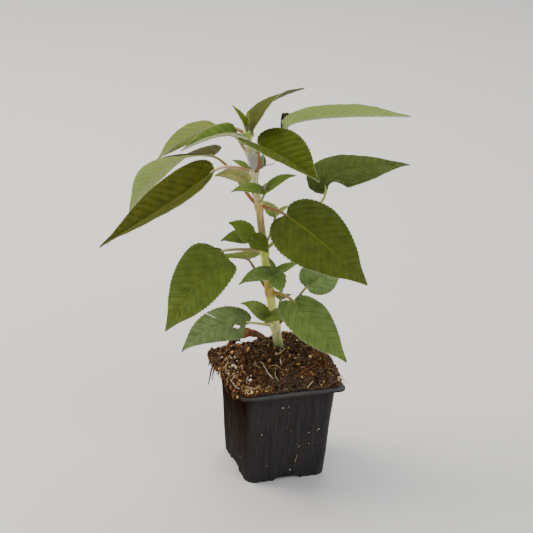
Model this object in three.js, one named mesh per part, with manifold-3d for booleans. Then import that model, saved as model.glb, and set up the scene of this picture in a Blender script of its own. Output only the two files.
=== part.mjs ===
// A young pineapple sage in a square black nursery pot.
// Millimetres, +Z up. The origin is the middle of the pot's underside, and the pot's walls face X and Y.
// The stem leans to -X. Opposite leaves sit at seven nodes on it, with small side shoots in their axils.
import * as THREE from 'three';
import { mergeVertices } from 'three/addons/utils/BufferGeometryUtils.js';
import Module from 'manifold-3d';

// Driving dimensions of the pot, in millimetres
const POT_HEIGHT = 75;
const RIM_HALF = 40;
const RIM_CORNER = 5;
const LIP_DEPTH = 2.7;
const LIP_THICKNESS = 1.1;
const RIM_BEVEL = 0.6;
const MOUTH_BEVEL = 1.2;
const WALL_TOP_HALF = 35.2;
const FOOT_HALF = 30.7;
const FOOT_BEVEL = 0.7;
const WALL_CORNER = 8.5;
const WALL_THICKNESS = 1.2;
const FLUTES_PER_SIDE = 8;
const FLUTE_DEPTH = 0.4;
const DRAIN_SLOT = { width: 20, height: 3.6, intoFloor: 6 };
const DRAIN_HOLE = { radius: 3.2, fromMiddle: 17 };

// Gap that neighbouring pieces keep
const GAP = 0.3;

// Driving dimensions of the compost
const MOUND_RISE = 14;
const COMPOST_EDGE = 1.3;
const COMPOST_RINGS = 10;
const CRUMB = { size: 6.5, height: 3.4 };
const GRAIN = { size: 3, height: 2 };
const SEED = 11;
// Lumps on the mound, and places where its edge reaches further out than the rest of it
const LUMPS = [
  { x: -36, y: 34, radius: 10, by: -1.5 },
  { x: 39, y: 2, radius: 22, by: 5 },
  { x: 10, y: 22, radius: 15, by: 6 },
];
const SPILLS = [
  { x: -40, y: 34, radius: 22, by: 3.6 },
  { x: -40, y: -4, radius: 24, by: 1.8 },
  { x: 40, y: 0, radius: 30, by: 2.4 },
];
const SHORT_OF_RIM = 0.8;
const SHORT_AT_FRONT = { by: 2.6, depth: 12 };

// The stem's centre line from its foot in the compost to the growing tip, each point [x, y, z]
const STEM_LINE = [
  [6, 4, 66], [3, 5, 88], [-1, 6, 108], [-4, 6.5, 124], [-6, 6.5, 135.5], [-9.5, 7.5, 156],
  [-11, 8, 167.5], [-14, 8, 187], [-16, 8.5, 202], [-19, 9.5, 218], [-19.7, 10, 227.5],
  [-22.4, 11, 240], [-25.5, 12, 256.5],
];
// Heights of the nodes on the stem, numbered from 0 at the compost
const NODE_HEIGHTS = [108, 135.5, 167.5, 202, 227.5, 240, 254.5];
const NODE_SWELL = { by: 0.9, reach: 3 };
const YOUNG_FROM_NODE = 5;
const STEM_HALF_FOOT = 3.7;
const STEM_HALF_TOP = 2.2;
const STEM_TAPER = 1.3;
const STEM_SQUARENESS = 0.13;
const STEM_TWIST = 0.5;

// Leaf blades. Curl is how far the margins bend down, in degrees, and a blade narrower than `fullWidth`
// has smaller teeth, pleats and keel.
const BLADE = { thickness: 0.7, keel: 0.9, pleat: 0.35, curl: -16, fullWidth: 18 };
const TOOTH = { pitch: 5.3, depth: 0.8, lean: 0.62 };
// Side veins leave the midrib this part of the blade's length before they reach the margin, and the first
// rows of a blade spread over at least this part of it
const VEIN_SWEEP = 0.08;
const LEAST_SPREAD = 0.2;
// How fast a basal lobe fades along the margin
const LOBE_FADE = 8;
const STALK_RADIUS = 1.15;
const STALK_BEND = 0.3;
const SHOOT_RADIUS = 0.9;
const SHOOT_ABOVE_NODE = 3;
const SHOOT_SAG = 0.3;
// How far from its shoot's end a small leaf's blade starts
const SMALL_ROOT = 0.4;

// A blade's outline from its base to its tip: [part of the length, part of the half width]
const OUTLINE = [
  [0, 0.05], [-0.045, 0.34], [0, 0.66], [0.12, 0.91], [0.28, 1],
  [0.48, 0.89], [0.68, 0.6], [0.85, 0.25], [1, 0.02],
];

// The main leaves. Base, mid and tip are points [x, y, z] on the midrib. Roll turns the blade about its
// midrib, from the first angle at the base to the second at the tip, with the side on the left of its
// heading going up. Fold lifts each half towards a V. Lobes give how far the left and the right half reach
// back beside the stalk, as a part of the length.
const LEAVES = [
  { name: 'leaf_0_left', node: 0, base: [-22, 4, 114], mid: [-51, 2, 113.5], tip: [-73, 0, 98],
    width: 30, roll: [-27, -27], fold: 8, lobes: [-0.12, 0] },
  { name: 'leaf_0_right', node: 0, base: [25, 14, 133], mid: [43, 27, 136], tip: [61, 41, 138],
    width: 27, roll: [35, 35], fold: 15, lobes: [0, 0] },
  { name: 'leaf_1_right', node: 1, base: [5, -14, 136], mid: [15, -36, 124], tip: [33, -53, 103],
    width: 36, roll: [12, 15], fold: 8, lobes: [0, 0] },
  { name: 'leaf_1_left', node: 1, base: [-17, 27, 154], mid: [-19, 44, 150], tip: [-22, 60, 145],
    width: 26, roll: [0, 0], fold: 15, lobes: [0, 0] },
  { name: 'leaf_2_left', node: 2, base: [-44, 2, 173], mid: [-62, -9, 162], tip: [-86, -2, 117],
    width: 42, roll: [-28, -38], fold: 6, lobes: [-0.1, -0.1] },
  { name: 'leaf_2_right', node: 2, base: [37.5, 15, 208], mid: [49.5, 21.5, 218], tip: [104.5, 24, 218.5],
    width: 40, roll: [14, 8], fold: 9, lobes: [-0.02, -0.06] },
  { name: 'leaf_3_right', node: 3, base: [-2, -10, 201], mid: [17, -35, 188], tip: [44, -55, 162],
    width: 50, roll: [36, 36], fold: 5, lobes: [0, 0] },
  { name: 'leaf_3_left', node: 3, base: [-40, 44, 229], mid: [-67, 69, 215], tip: [-92, 82, 176],
    width: 46, roll: [2, 41], fold: 16, lobes: [-0.12, -0.03] },
  { name: 'leaf_4_left', node: 4, base: [-48, 13.5, 229.5], mid: [-79, 14.5, 208], tip: [-128, 20, 176.5],
    width: 38, roll: [-14, -14], fold: 29, lobes: [-0.05, -0.02] },
  { name: 'leaf_4_right', node: 4, base: [-24, -6.5, 253.5], mid: [-11, -30, 250], tip: [3.5, -58, 242.5],
    width: 39.5, roll: [9, 14], fold: 36, lobes: [0, 0.11] },
  { name: 'leaf_5_left', node: 5, base: [-30.5, 14, 250], mid: [-47, 4, 258], tip: [-73, 12, 246],
    width: 20, roll: [-8, 4], fold: 38, lobes: [0.02, -0.15] },
  { name: 'leaf_5_right', node: 5, base: [3, 12.5, 256.5], mid: [25, 6.5, 265], tip: [92, 1, 263.5],
    width: 40, roll: [-21, -27], fold: 29, lobes: [0.05, -0.06] },
  { name: 'leaf_6_left', node: 6, base: [-41.5, 32, 256], mid: [-58, 41, 247], tip: [-81, 46.5, 228],
    width: 25, roll: [36, 55], fold: 14, lobes: [-0.06, -0.08] },
  { name: 'leaf_6_right', node: 6, base: [-21, 13, 252.5], mid: [-12, 19, 271], tip: [18, 20, 283],
    width: 47, roll: [-19, -28], fold: 12, lobes: [-0.1, -0.06] },
];

// The side shoots. Each stands on a node, ends at `end`, and bears small leaves drawn as the main ones are,
// with the middle of the midrib lifted by `arch` over the straight line from base to tip.
const SHOOTS = [
  { name: 'shoot_0_front', node: 0, end: [-10, -2, 120], leaves: [
    { tip: [-30, 0, 132], width: 13, roll: [-45, -30], fold: 10, arch: 2 },
    { tip: [0, -18, 124], width: 16, roll: [25, 25], fold: 10, arch: 2 }] },
  { name: 'shoot_0_back', node: 0, end: [4, 11, 127], leaves: [
    { tip: [13, 12, 129], width: 6, roll: [0, 0], fold: 10, arch: 1 },
    { tip: [-2, 17, 130], width: 5, roll: [0, 0], fold: 10, arch: 1 }] },
  { name: 'shoot_1_front', node: 1, end: [-7, -5, 155], leaves: [
    { tip: [-33, -3, 148], width: 13, roll: [-30, -20], fold: 12, arch: 3 },
    { tip: [-4, -14, 143], width: 12, roll: [40, 40], fold: 10, arch: 2 },
    { tip: [-11, -1, 167], width: 7, roll: [0, 0], fold: 25, arch: 0 },
    { tip: [12, -6, 162], width: 8, roll: [20, 20], fold: 15, arch: 1 }] },
  { name: 'shoot_2_front', node: 2, end: [-23, 1, 181], leaves: [
    { tip: [-39, 5, 193], width: 16, roll: [-38, -30], fold: 12, arch: 2 },
    { tip: [-14, -9, 173], width: 14, roll: [33, 30], fold: 10, arch: 2 },
    { tip: [-42, 13, 176], width: 15, roll: [-22, -20], fold: 9, arch: 3 }] },
  { name: 'shoot_2_back', node: 2, end: [-1, 15, 191], leaves: [
    { tip: [-8, 26, 199], width: 12, roll: [0, 0], fold: 10, arch: 1 },
    { tip: [11, 17, 197], width: 6, roll: [0, 0], fold: 20, arch: 1 }] },
  { name: 'shoot_3_front', node: 3, end: [-16, -3, 217], leaves: [
    { tip: [-40, -1, 218], width: 11, roll: [-20, -18], fold: 12, arch: 3 },
    { tip: [5, -8, 229], width: 12, roll: [12, 15], fold: 14, arch: 3 }] },
  { name: 'shoot_3_back', node: 3, end: [-22, 14, 219], leaves: [
    { tip: [-44, 25, 221], width: 14, roll: [-20, -20], fold: 15, arch: 3 }] },
  { name: 'shoot_4_left', node: 4, end: [-26, 7, 233], leaves: [
    { tip: [-37, 8, 238], width: 6, roll: [30, 30], fold: 15, arch: 0 }] },
  { name: 'shoot_4_right', node: 4, end: [-15, 7, 232], leaves: [
    { tip: [-16, 4, 243], width: 5, roll: [0, 0], fold: 15, arch: 0 },
    { tip: [-4, 12, 232], width: 5, roll: [-23, -23], fold: 5, arch: 0 }] },
];

// The growing tip stands on the end of the stem
const GROWING_TIP = { foot: [-25.7, 12.1, 256.9], end: [-26, 12, 261], leaves: [
  { tip: [-36, 14, 276], width: 7, roll: [-30, -30], fold: 30, arch: 0 },
  { tip: [-24, 15, 269], width: 8, roll: [-40, -40], fold: 20, arch: 0 }] };

// A curled scrap of bark that arches over the back of the compost. Its section is given in parts of half
// its width and half its thickness.
const BARK_ARCH = [[-26, 42, 76], [-21, 40, 85], [-13, 36, 90], [-5, 31, 89.5], [3, 26, 84]];
const BARK_WIDTH = 9;
const BARK_THICKNESS = 1.6;
const BARK_SECTION = [[-1, -0.3], [0, -0.7], [1, -0.3], [1, 0.5], [0, 1.3], [-1, 0.5]];

const PLASTIC = new THREE.MeshStandardMaterial({ color: 0x2c2d2f, roughness: 0.45, metalness: 0 });
const PEAT = new THREE.MeshStandardMaterial({ color: 0x38261a, roughness: 1, metalness: 0 });
const STEM_GREEN = new THREE.MeshStandardMaterial({ color: 0xa9b96a, roughness: 0.7, metalness: 0 });
const LEAF_GREEN = new THREE.MeshStandardMaterial({ color: 0x4f6b22, roughness: 0.6, metalness: 0 });
const YOUNG_GREEN = new THREE.MeshStandardMaterial({ color: 0x6f8f35, roughness: 0.6, metalness: 0 });
const BARK = new THREE.MeshStandardMaterial({ color: 0x5a3a22, roughness: 0.95, metalness: 0 });

const wasm = await Module();
wasm.setup();
const plant = new THREE.Group();

// Joining and cutting

function solidOf(geometry) {
  const bare = geometry.clone();
  bare.deleteAttribute('normal');
  bare.deleteAttribute('uv');
  const merged = mergeVertices(bare, 1e-4);
  return new wasm.Manifold(new wasm.Mesh({
    numProp: 3,
    vertProperties: new Float32Array(merged.attributes.position.array),
    triVerts: new Uint32Array(merged.index.array),
  }));
}

// The largest body of a solid: fills a hollow that joining has sealed and drops a loose scrap
function wholeBody(solid) {
  return solid.decompose().reduce((best, body) => (body.volume() > best.volume() ? body : best));
}

function geometryOf(solid) {
  const mesh = wholeBody(solid).getMesh();
  const geometry = new THREE.BufferGeometry();
  geometry.setAttribute('position', new THREE.BufferAttribute(new Float32Array(mesh.vertProperties), 3));
  geometry.setIndex(new THREE.BufferAttribute(new Uint32Array(mesh.triVerts), 1));
  geometry.computeVertexNormals();
  return geometry;
}

function addNode(name, geometry, material) {
  const mesh = new THREE.Mesh(geometry, material);
  mesh.name = name;
  plant.add(mesh);
}

// Closed surfaces from rows of points

function volumeOf(points, faces) {
  let six = 0;
  for (const [a, b, c] of faces) six += points[a].dot(points[b].clone().cross(points[c]));
  return six / 6;
}

function closedGeometry(points, faces) {
  const outward = volumeOf(points, faces) > 0 ? faces : faces.map(([a, b, c]) => [a, c, b]);
  const geometry = new THREE.BufferGeometry().setFromPoints(points);
  geometry.setIndex(outward.flat());
  return geometry;
}

// Joins rings of equally many points into a tube and closes both ends with a fan
function loft(rings, startPoint, endPoint) {
  const count = rings[0].length;
  const points = rings.flat();
  const faces = [];
  for (let r = 0; r + 1 < rings.length; r++) {
    for (let i = 0; i < count; i++) {
      const a = r * count + i;
      const b = r * count + (i + 1) % count;
      faces.push([a, b, b + count], [a, b + count, a + count]);
    }
  }
  const start = points.push(startPoint) - 1;
  const end = points.push(endPoint) - 1;
  const last = (rings.length - 1) * count;
  for (let i = 0; i < count; i++) {
    const next = (i + 1) % count;
    faces.push([start, next, i], [end, last + i, last + next]);
  }
  return closedGeometry(points, faces);
}

// A round tapering stalk along a curve, with a pointed end. Its side normal is carried along it.
function stalk(curve, stations, sides, radiusAt) {
  const rings = [];
  let side = new THREE.Vector3(0.3, 0.5, 0.8);
  for (let s = 0; s <= stations; s++) {
    const u = s / stations;
    const tangent = curve.getTangentAt(u);
    side = side.clone().addScaledVector(tangent, -side.dot(tangent)).normalize();
    const other = tangent.clone().cross(side);
    const ring = [];
    for (let i = 0; i < sides; i++) {
      const turn = (2 * Math.PI * i) / sides;
      ring.push(curve.getPointAt(u)
        .addScaledVector(side, radiusAt(u) * Math.cos(turn))
        .addScaledVector(other, radiusAt(u) * Math.sin(turn)));
    }
    rings.push(ring);
  }
  const point = curve.getPointAt(1).addScaledVector(curve.getTangentAt(1), radiusAt(1));
  return loft(rings, curve.getPointAt(0), point);
}

// Pot: one thin moulded shell, drawn as square rings from the middle of its underside to its floor

function squareRing(half, corner, z, relief = 0) {
  const ring = [];
  const straight = half - corner;
  const steps = 2 * FLUTES_PER_SIDE;
  const arcSteps = 4;
  for (let quarter = 0; quarter < 4; quarter++) {
    const side = [];
    for (let i = 0; i <= steps; i++) {
      side.push([half - (i % 2 ? relief : 0), straight * (2 * i / steps - 1)]);
    }
    for (let i = 1; i < arcSteps; i++) {
      const turn = (Math.PI / 2) * (i / arcSteps);
      side.push([straight + corner * Math.cos(turn), straight + corner * Math.sin(turn)]);
    }
    const turn = quarter * Math.PI / 2;
    for (const [x, y] of side) {
      ring.push(new THREE.Vector3(
        x * Math.cos(turn) - y * Math.sin(turn), x * Math.sin(turn) + y * Math.cos(turn), z));
    }
  }
  return ring;
}

function wallHalf(z) {
  return FOOT_HALF + (WALL_TOP_HALF - FOOT_HALF) * z / (POT_HEIGHT - LIP_DEPTH);
}

function potShell() {
  const top = POT_HEIGHT;
  const lipFoot = top - LIP_DEPTH;
  const lipInside = RIM_HALF - LIP_THICKNESS;
  const flangeUnder = top - WALL_THICKNESS;
  const innerTop = wallHalf(top) - WALL_THICKNESS;
  const innerCorner = WALL_CORNER - WALL_THICKNESS / 2;
  const rings = [
    squareRing(FOOT_HALF - FOOT_BEVEL, WALL_CORNER - FOOT_BEVEL, 0, FLUTE_DEPTH),
    squareRing(FOOT_HALF, WALL_CORNER, FOOT_BEVEL, FLUTE_DEPTH),
    squareRing(wallHalf(flangeUnder), WALL_CORNER, flangeUnder, FLUTE_DEPTH),
    squareRing(lipInside, RIM_CORNER - LIP_THICKNESS / 2, flangeUnder),
    squareRing(lipInside, RIM_CORNER - LIP_THICKNESS / 2, lipFoot),
    squareRing(RIM_HALF, RIM_CORNER, lipFoot),
    squareRing(RIM_HALF, RIM_CORNER, top - RIM_BEVEL),
    squareRing(RIM_HALF - RIM_BEVEL, RIM_CORNER - RIM_BEVEL / 2, top),
    squareRing(innerTop + MOUTH_BEVEL, WALL_CORNER, top),
    squareRing(innerTop, innerCorner, top - MOUTH_BEVEL),
    squareRing(wallHalf(0) - WALL_THICKNESS, innerCorner, WALL_THICKNESS),
  ];
  return loft(rings, new THREE.Vector3(0, 0, 0), new THREE.Vector3(0, 0, WALL_THICKNESS));
}

function drainSlot() {
  const arch = new THREE.Shape();
  const half = DRAIN_SLOT.width / 2;
  arch.moveTo(-half, -WALL_THICKNESS);
  arch.lineTo(half, -WALL_THICKNESS);
  arch.absellipse(0, 0, half, DRAIN_SLOT.height, 0, Math.PI, false);
  const depth = DRAIN_SLOT.intoFloor + 2 * WALL_THICKNESS;
  return new THREE.ExtrudeGeometry(arch, { depth, bevelEnabled: false, curveSegments: 10 });
}

function buildPot() {
  let pot = solidOf(potShell());
  for (let side = 0; side < 4; side++) {
    const slot = drainSlot();
    slot.rotateX(Math.PI / 2);
    slot.translate(0, -FOOT_HALF + DRAIN_SLOT.intoFloor, 0);
    slot.rotateZ(side * Math.PI / 2);
    pot = pot.subtract(solidOf(slot));
    const hole = new THREE.CylinderGeometry(DRAIN_HOLE.radius, DRAIN_HOLE.radius, 4 * WALL_THICKNESS, 10);
    hole.rotateX(Math.PI / 2);
    hole.translate(DRAIN_HOLE.fromMiddle, 0, 0);
    hole.rotateZ(side * Math.PI / 2 + Math.PI / 4);
    pot = pot.subtract(solidOf(hole));
  }
  addNode('pot', geometryOf(pot), PLASTIC);
}

// Stem: square in section with rounded ridges, swollen where the leaves sit

function curveThrough(line) {
  return new THREE.CatmullRomCurve3(line.map((point) => new THREE.Vector3(...point)), false, 'centripetal');
}

const stemCurve = curveThrough(STEM_LINE);

function stemAt(height) {
  let low = 0;
  let high = 1;
  for (let i = 0; i < 30; i++) {
    const middle = (low + high) / 2;
    if (stemCurve.getPointAt(middle).z < height) low = middle;
    else high = middle;
  }
  return stemCurve.getPointAt(low);
}

function stemHalf(z) {
  const foot = STEM_LINE[0][2];
  const top = STEM_LINE[STEM_LINE.length - 1][2];
  const share = Math.min(1, Math.max(0, (z - foot) / (top - foot)));
  const swell = NODE_HEIGHTS.reduce((sum, node) => sum + Math.exp(-(((z - node) / NODE_SWELL.reach) ** 2)), 0);
  return THREE.MathUtils.lerp(STEM_HALF_FOOT, STEM_HALF_TOP, share ** STEM_TAPER) + NODE_SWELL.by * swell;
}

function stemLoft(extra) {
  const ridges = 8;
  const stations = 28;
  const rings = [];
  for (let s = 0; s <= stations; s++) {
    const centre = stemCurve.getPointAt(s / stations);
    const ring = [];
    for (let i = 0; i < ridges; i++) {
      const turn = (2 * Math.PI * i) / ridges;
      const reach = (stemHalf(centre.z) + extra) * (1 + STEM_SQUARENESS * Math.cos(4 * turn));
      const x = centre.x + reach * Math.cos(turn + STEM_TWIST);
      const y = centre.y + reach * Math.sin(turn + STEM_TWIST);
      ring.push(new THREE.Vector3(x, y, centre.z));
    }
    rings.push(ring);
  }
  return loft(rings, stemCurve.getPointAt(0), stemCurve.getPointAt(1));
}

const stemSolid = solidOf(stemLoft(0));
const stemClearance = solidOf(stemLoft(GAP));

// Compost: fills the pot, overhangs its rim a little and rises in a lumpy mound round the stem

function hash(ix, iy) {
  const value = Math.sin(ix * 127.1 + iy * 311.7 + SEED) * 43758.5453;
  return value - Math.floor(value);
}

function noise(x, y) {
  const ix = Math.floor(x);
  const iy = Math.floor(y);
  const sx = THREE.MathUtils.smoothstep(x - ix, 0, 1);
  const sy = THREE.MathUtils.smoothstep(y - iy, 0, 1);
  const low = THREE.MathUtils.lerp(hash(ix, iy), hash(ix + 1, iy), sx);
  const high = THREE.MathUtils.lerp(hash(ix, iy + 1), hash(ix + 1, iy + 1), sx);
  return THREE.MathUtils.lerp(low, high, sy) - 0.5;
}

function bump(x, y, place) {
  return place.by * Math.exp(-((x - place.x) ** 2 + (y - place.y) ** 2) / place.radius ** 2);
}

function bumps(x, y, places) {
  return places.reduce((sum, place) => sum + bump(x, y, place), 0);
}

// How far the compost reaches past the rim's outer edge in one direction, or short of it
function spill(x, y) {
  const front = SHORT_AT_FRONT.by * Math.exp(-(((y + RIM_HALF) / SHORT_AT_FRONT.depth) ** 2));
  return bumps(x, y, SPILLS) - front - SHORT_OF_RIM;
}

// Height of the compost's surface. `ratio` is 0 at the stem and 1 at the compost's edge.
function moundTop(x, y, ratio) {
  const rise = MOUND_RISE * (1 - ratio ** 2.4);
  const lumps = bumps(x, y, LUMPS) * (1 - 0.5 * ratio ** 16);
  const rough = CRUMB.height * noise(x / CRUMB.size, y / CRUMB.size)
    + GRAIN.height * noise(x / GRAIN.size + 40, y / GRAIN.size + 40);
  return POT_HEIGHT + GAP + COMPOST_EDGE + rise + lumps + rough * (1 - 0.65 * ratio ** 6);
}

function compostGeometry() {
  const floor = WALL_THICKNESS + GAP;
  const innerFoot = wallHalf(0) - WALL_THICKNESS - GAP;
  const innerTop = wallHalf(POT_HEIGHT) - WALL_THICKNESS - GAP;
  const innerCorner = WALL_CORNER - WALL_THICKNESS / 2 - GAP;
  const under = POT_HEIGHT + GAP;
  const edge = squareRing(RIM_HALF, RIM_CORNER + 1, 0).map((p) => {
    const reach = 1 + spill(p.x, p.y) / p.length();
    return new THREE.Vector3(p.x * reach, p.y * reach, 0);
  });
  const rings = [
    squareRing(innerFoot, innerCorner, floor),
    squareRing(innerTop, innerCorner, POT_HEIGHT - MOUTH_BEVEL),
    squareRing(innerTop, innerCorner, under),
    edge.map((p) => new THREE.Vector3(p.x, p.y, under)),
  ];
  for (let r = 0; r < COMPOST_RINGS; r++) {
    const ratio = 1 - r / COMPOST_RINGS;
    rings.push(edge.map((p) => {
      const x = p.x * ratio;
      const y = p.y * ratio;
      return new THREE.Vector3(x, y, moundTop(x, y, ratio));
    }));
  }
  return loft(rings, new THREE.Vector3(0, 0, floor), new THREE.Vector3(0, 0, moundTop(0, 0, 0)));
}

const compostSolid = solidOf(compostGeometry()).subtract(stemClearance);

// Leaves

function frameAlong(curve, [rollBase, rollTip]) {
  const heading = curve.getPoint(1).sub(curve.getPoint(0)).setZ(0).normalize();
  const level = new THREE.Vector3(-heading.y, heading.x, 0);
  return (share) => {
    const u = Math.min(1, Math.max(0, share));
    const tangent = curve.getTangentAt(u);
    const side = level.clone().addScaledVector(tangent, -level.dot(tangent)).normalize();
    side.applyAxisAngle(tangent, THREE.MathUtils.degToRad(THREE.MathUtils.lerp(rollBase, rollTip, u)));
    const normal = tangent.clone().cross(side);
    const point = curve.getPointAt(u).addScaledVector(tangent, (share - u) * curve.getLength());
    return { point, side, normal };
  };
}

function midribCurve(leaf) {
  const base = new THREE.Vector3(...leaf.base);
  const tip = new THREE.Vector3(...leaf.tip);
  const mid = new THREE.Vector3(...leaf.mid);
  const pull = mid.multiplyScalar(2).addScaledVector(base, -0.5).addScaledVector(tip, -0.5);
  return new THREE.QuadraticBezierCurve3(base, pull, tip);
}

// How full the teeth, pleats and keel of a blade are
function fullness(leaf) {
  return Math.min(1, leaf.width / BLADE.fullWidth);
}

// One side of the margin: two points a tooth, a notch and the tooth's point set towards the tip
function toothedMargin(leaf, length, teeth, lobe) {
  const outline = new THREE.SplineCurve(OUTLINE.map(([x, y], i) => {
    const back = i ? lobe * (1 - x) ** LOBE_FADE : 0;
    return new THREE.Vector2((x - back) * length, y * leaf.width / 2);
  }));
  const margin = [];
  for (let k = 0; k < teeth; k++) {
    margin.push(outline.getPointAt(k / teeth));
    const u = (k + TOOTH.lean) / teeth;
    const tangent = outline.getTangentAt(u);
    const depth = TOOTH.depth * fullness(leaf) * Math.min(1, 3 * (1 - u));
    margin.push(outline.getPointAt(u).add(new THREE.Vector2(-tangent.y, tangent.x).multiplyScalar(depth)));
  }
  margin.push(outline.getPointAt(1));
  return margin;
}

// The blade laid flat: its points { along, across, sign, lift } and the triangles between them. Each side
// has the midrib, an inner row and the margin, and the inner row is pleated between the veins.
function flatBlade(leaf, length) {
  const teeth = Math.max(4, Math.round(length / TOOTH.pitch));
  const plain = toothedMargin(leaf, length, teeth, 0);
  const [leftLobe, rightLobe] = leaf.lobes ?? [0, 0];
  const points = [];
  const triangles = [];
  const put = (along, across, sign, lift) => points.push({ along, across, sign, lift }) - 1;
  const ribAt = (k) => Math.max(
    (plain[2 * k].x - VEIN_SWEEP * length) / (1 - VEIN_SWEEP), LEAST_SPREAD * length * k / teeth);
  const rib = Array.from({ length: teeth + 1 }, (_, k) => put(ribAt(k), 0, 1, 0));
  for (const [sign, lobe] of [[1, leftLobe], [-1, rightLobe]]) {
    const margin = toothedMargin(leaf, length, teeth, lobe);
    const edge = margin.map((m) => put(m.x, m.y, sign, 0));
    const inner = rib.map((_, k) => {
      const { x, y } = margin[2 * k];
      const pleat = (k % 2 ? 1 : -1) * BLADE.pleat * fullness(leaf) * Math.min(1, y / 4);
      return put((ribAt(k) + x) / 2, y / 2, sign, pleat);
    });
    for (let k = 0; k < teeth; k++) {
      const strip = [
        [rib[k], rib[k + 1], inner[k + 1]],
        [rib[k], inner[k + 1], inner[k]],
        [inner[k], edge[2 * k + 1], edge[2 * k]],
        [inner[k], inner[k + 1], edge[2 * k + 1]],
        [inner[k + 1], edge[2 * k + 2], edge[2 * k + 1]],
      ];
      triangles.push(...(sign > 0 ? strip : strip.map(([a, b, c]) => [a, c, b])));
    }
  }
  return { points, triangles };
}

// Gives the place in space of a point of the flat blade, `offset` over the middle of its thickness
function bladePlacer(leaf, curve) {
  const length = curve.getLength();
  const frame = frameAlong(curve, leaf.roll);
  const fold = THREE.MathUtils.degToRad(leaf.fold);
  const curl = THREE.MathUtils.degToRad(BLADE.curl);
  return ({ along, across, sign }, offset) => {
    const { point, side, normal } = frame(along / length);
    const turn = curl * across / (leaf.width / 2);
    const reach = fold + turn / 2;
    const lean = fold + turn;
    return point
      .addScaledVector(side, sign * (across * Math.cos(reach) - offset * Math.sin(lean)))
      .addScaledVector(normal, across * Math.sin(reach) + offset * Math.cos(lean));
  };
}

// Closes two skins that have the same triangles along their free edges
function thinShell(top, bottom, triangles) {
  const n = top.length;
  const faces = [...triangles, ...triangles.map(([a, b, c]) => [a + n, c + n, b + n])];
  const edges = triangles.flatMap(([a, b, c]) => [[a, b], [b, c], [c, a]]);
  const known = new Set(edges.map(([a, b]) => `${a}-${b}`));
  for (const [a, b] of edges) {
    if (!known.has(`${b}-${a}`)) faces.push([b, a, a + n], [b, a + n, b + n]);
  }
  return closedGeometry([...top, ...bottom], faces);
}

// A thin closed blade with a toothed margin and a keel along the underside of its midrib
function blade(leaf) {
  const curve = midribCurve(leaf);
  const length = curve.getLength();
  const { points, triangles } = flatBlade(leaf, length);
  const place = bladePlacer(leaf, curve);
  const half = BLADE.thickness / 2;
  const keelAt = (p) => (p.across ? 0 : BLADE.keel * fullness(leaf) * (1 - 0.7 * p.along / length));
  return thinShell(
    points.map((p) => place(p, p.lift + half)),
    points.map((p) => place(p, p.lift - half - keelAt(p))),
    triangles);
}

// A leaf stalk from inside the stem to a short way under the blade, where it sinks in
function leafStalk(from, leaf) {
  const curve = midribCurve(leaf);
  const base = curve.getPoint(0);
  const reach = base.distanceTo(from);
  const outward = base.clone().sub(from).setZ(0).normalize();
  const path = new THREE.CubicBezierCurve3(
    from,
    from.clone().addScaledVector(outward, reach * STALK_BEND).add(new THREE.Vector3(0, 0, reach * 0.1)),
    base.clone().addScaledVector(curve.getTangent(0), -reach * STALK_BEND),
    curve.getPointAt(0.03));
  return stalk(path, 6, 5, (u) => STALK_RADIUS * (1.25 - 0.5 * u));
}

function buildLeaves() {
  for (const leaf of LEAVES) {
    const from = stemAt(NODE_HEIGHTS[leaf.node]);
    const leafSolid = solidOf(blade(leaf)).add(solidOf(leafStalk(from, leaf)));
    const green = leaf.node < YOUNG_FROM_NODE ? LEAF_GREEN : YOUNG_GREEN;
    addNode(leaf.name, geometryOf(leafSolid.subtract(stemClearance)), green);
  }
}

// Side shoots and the growing tip: a short stalk with its small leaves, grown as one

function shootSolid(foot, shoot) {
  const end = new THREE.Vector3(...shoot.end);
  const sag = new THREE.Vector3(0, 0, foot.distanceTo(end) * SHOOT_SAG);
  const path = new THREE.QuadraticBezierCurve3(foot, foot.clone().lerp(end, 0.6).sub(sag), end);
  let solid = solidOf(stalk(path, 4, 5, () => SHOOT_RADIUS));
  for (const small of shoot.leaves) {
    const tip = new THREE.Vector3(...small.tip);
    const root = end.clone().addScaledVector(tip.clone().sub(end).normalize(), SMALL_ROOT);
    const mid = root.clone().lerp(tip, 0.5).add(new THREE.Vector3(0, 0, small.arch));
    solid = solid.add(solidOf(blade({ ...small, base: root.toArray(), mid: mid.toArray() })));
  }
  return solid;
}

function buildShoots() {
  for (const shoot of SHOOTS) {
    const foot = stemAt(NODE_HEIGHTS[shoot.node] + SHOOT_ABOVE_NODE);
    addNode(shoot.name, geometryOf(shootSolid(foot, shoot).subtract(stemClearance)), YOUNG_GREEN);
  }
  const tipSolid = shootSolid(new THREE.Vector3(...GROWING_TIP.foot), GROWING_TIP);
  addNode('growing_tip', geometryOf(tipSolid.subtract(stemClearance)), YOUNG_GREEN);
}

// Bark scrap: a flat bent strip, cut where the compost carries it

function barkStrip() {
  const curve = curveThrough(BARK_ARCH);
  const stations = 8;
  const rings = [];
  for (let s = 0; s <= stations; s++) {
    const u = s / stations;
    const tangent = curve.getTangentAt(u);
    const across = new THREE.Vector3(-tangent.y, tangent.x, 0.5 * Math.sin(4 * u)).normalize();
    const normal = tangent.clone().cross(across).normalize();
    const half = BARK_WIDTH / 2 * (0.45 + 0.55 * Math.sin(Math.PI * u) + 0.12 * Math.sin(17 * u));
    rings.push(BARK_SECTION.map(([x, y]) => curve.getPointAt(u)
      .addScaledVector(across, x * half)
      .addScaledVector(normal, y * BARK_THICKNESS / 2)));
  }
  return loft(rings, curve.getPointAt(0), curve.getPointAt(1));
}

function buildBark() {
  const bed = compostSolid.translate(0, 0, GAP);
  addNode('bark_scrap', geometryOf(solidOf(barkStrip()).subtract(bed)), BARK);
}

buildPot();
addNode('compost', geometryOf(compostSolid), PEAT);
addNode('stem', geometryOf(stemSolid), STEM_GREEN);
buildLeaves();
buildShoots();
buildBark();

export default plant;
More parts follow.
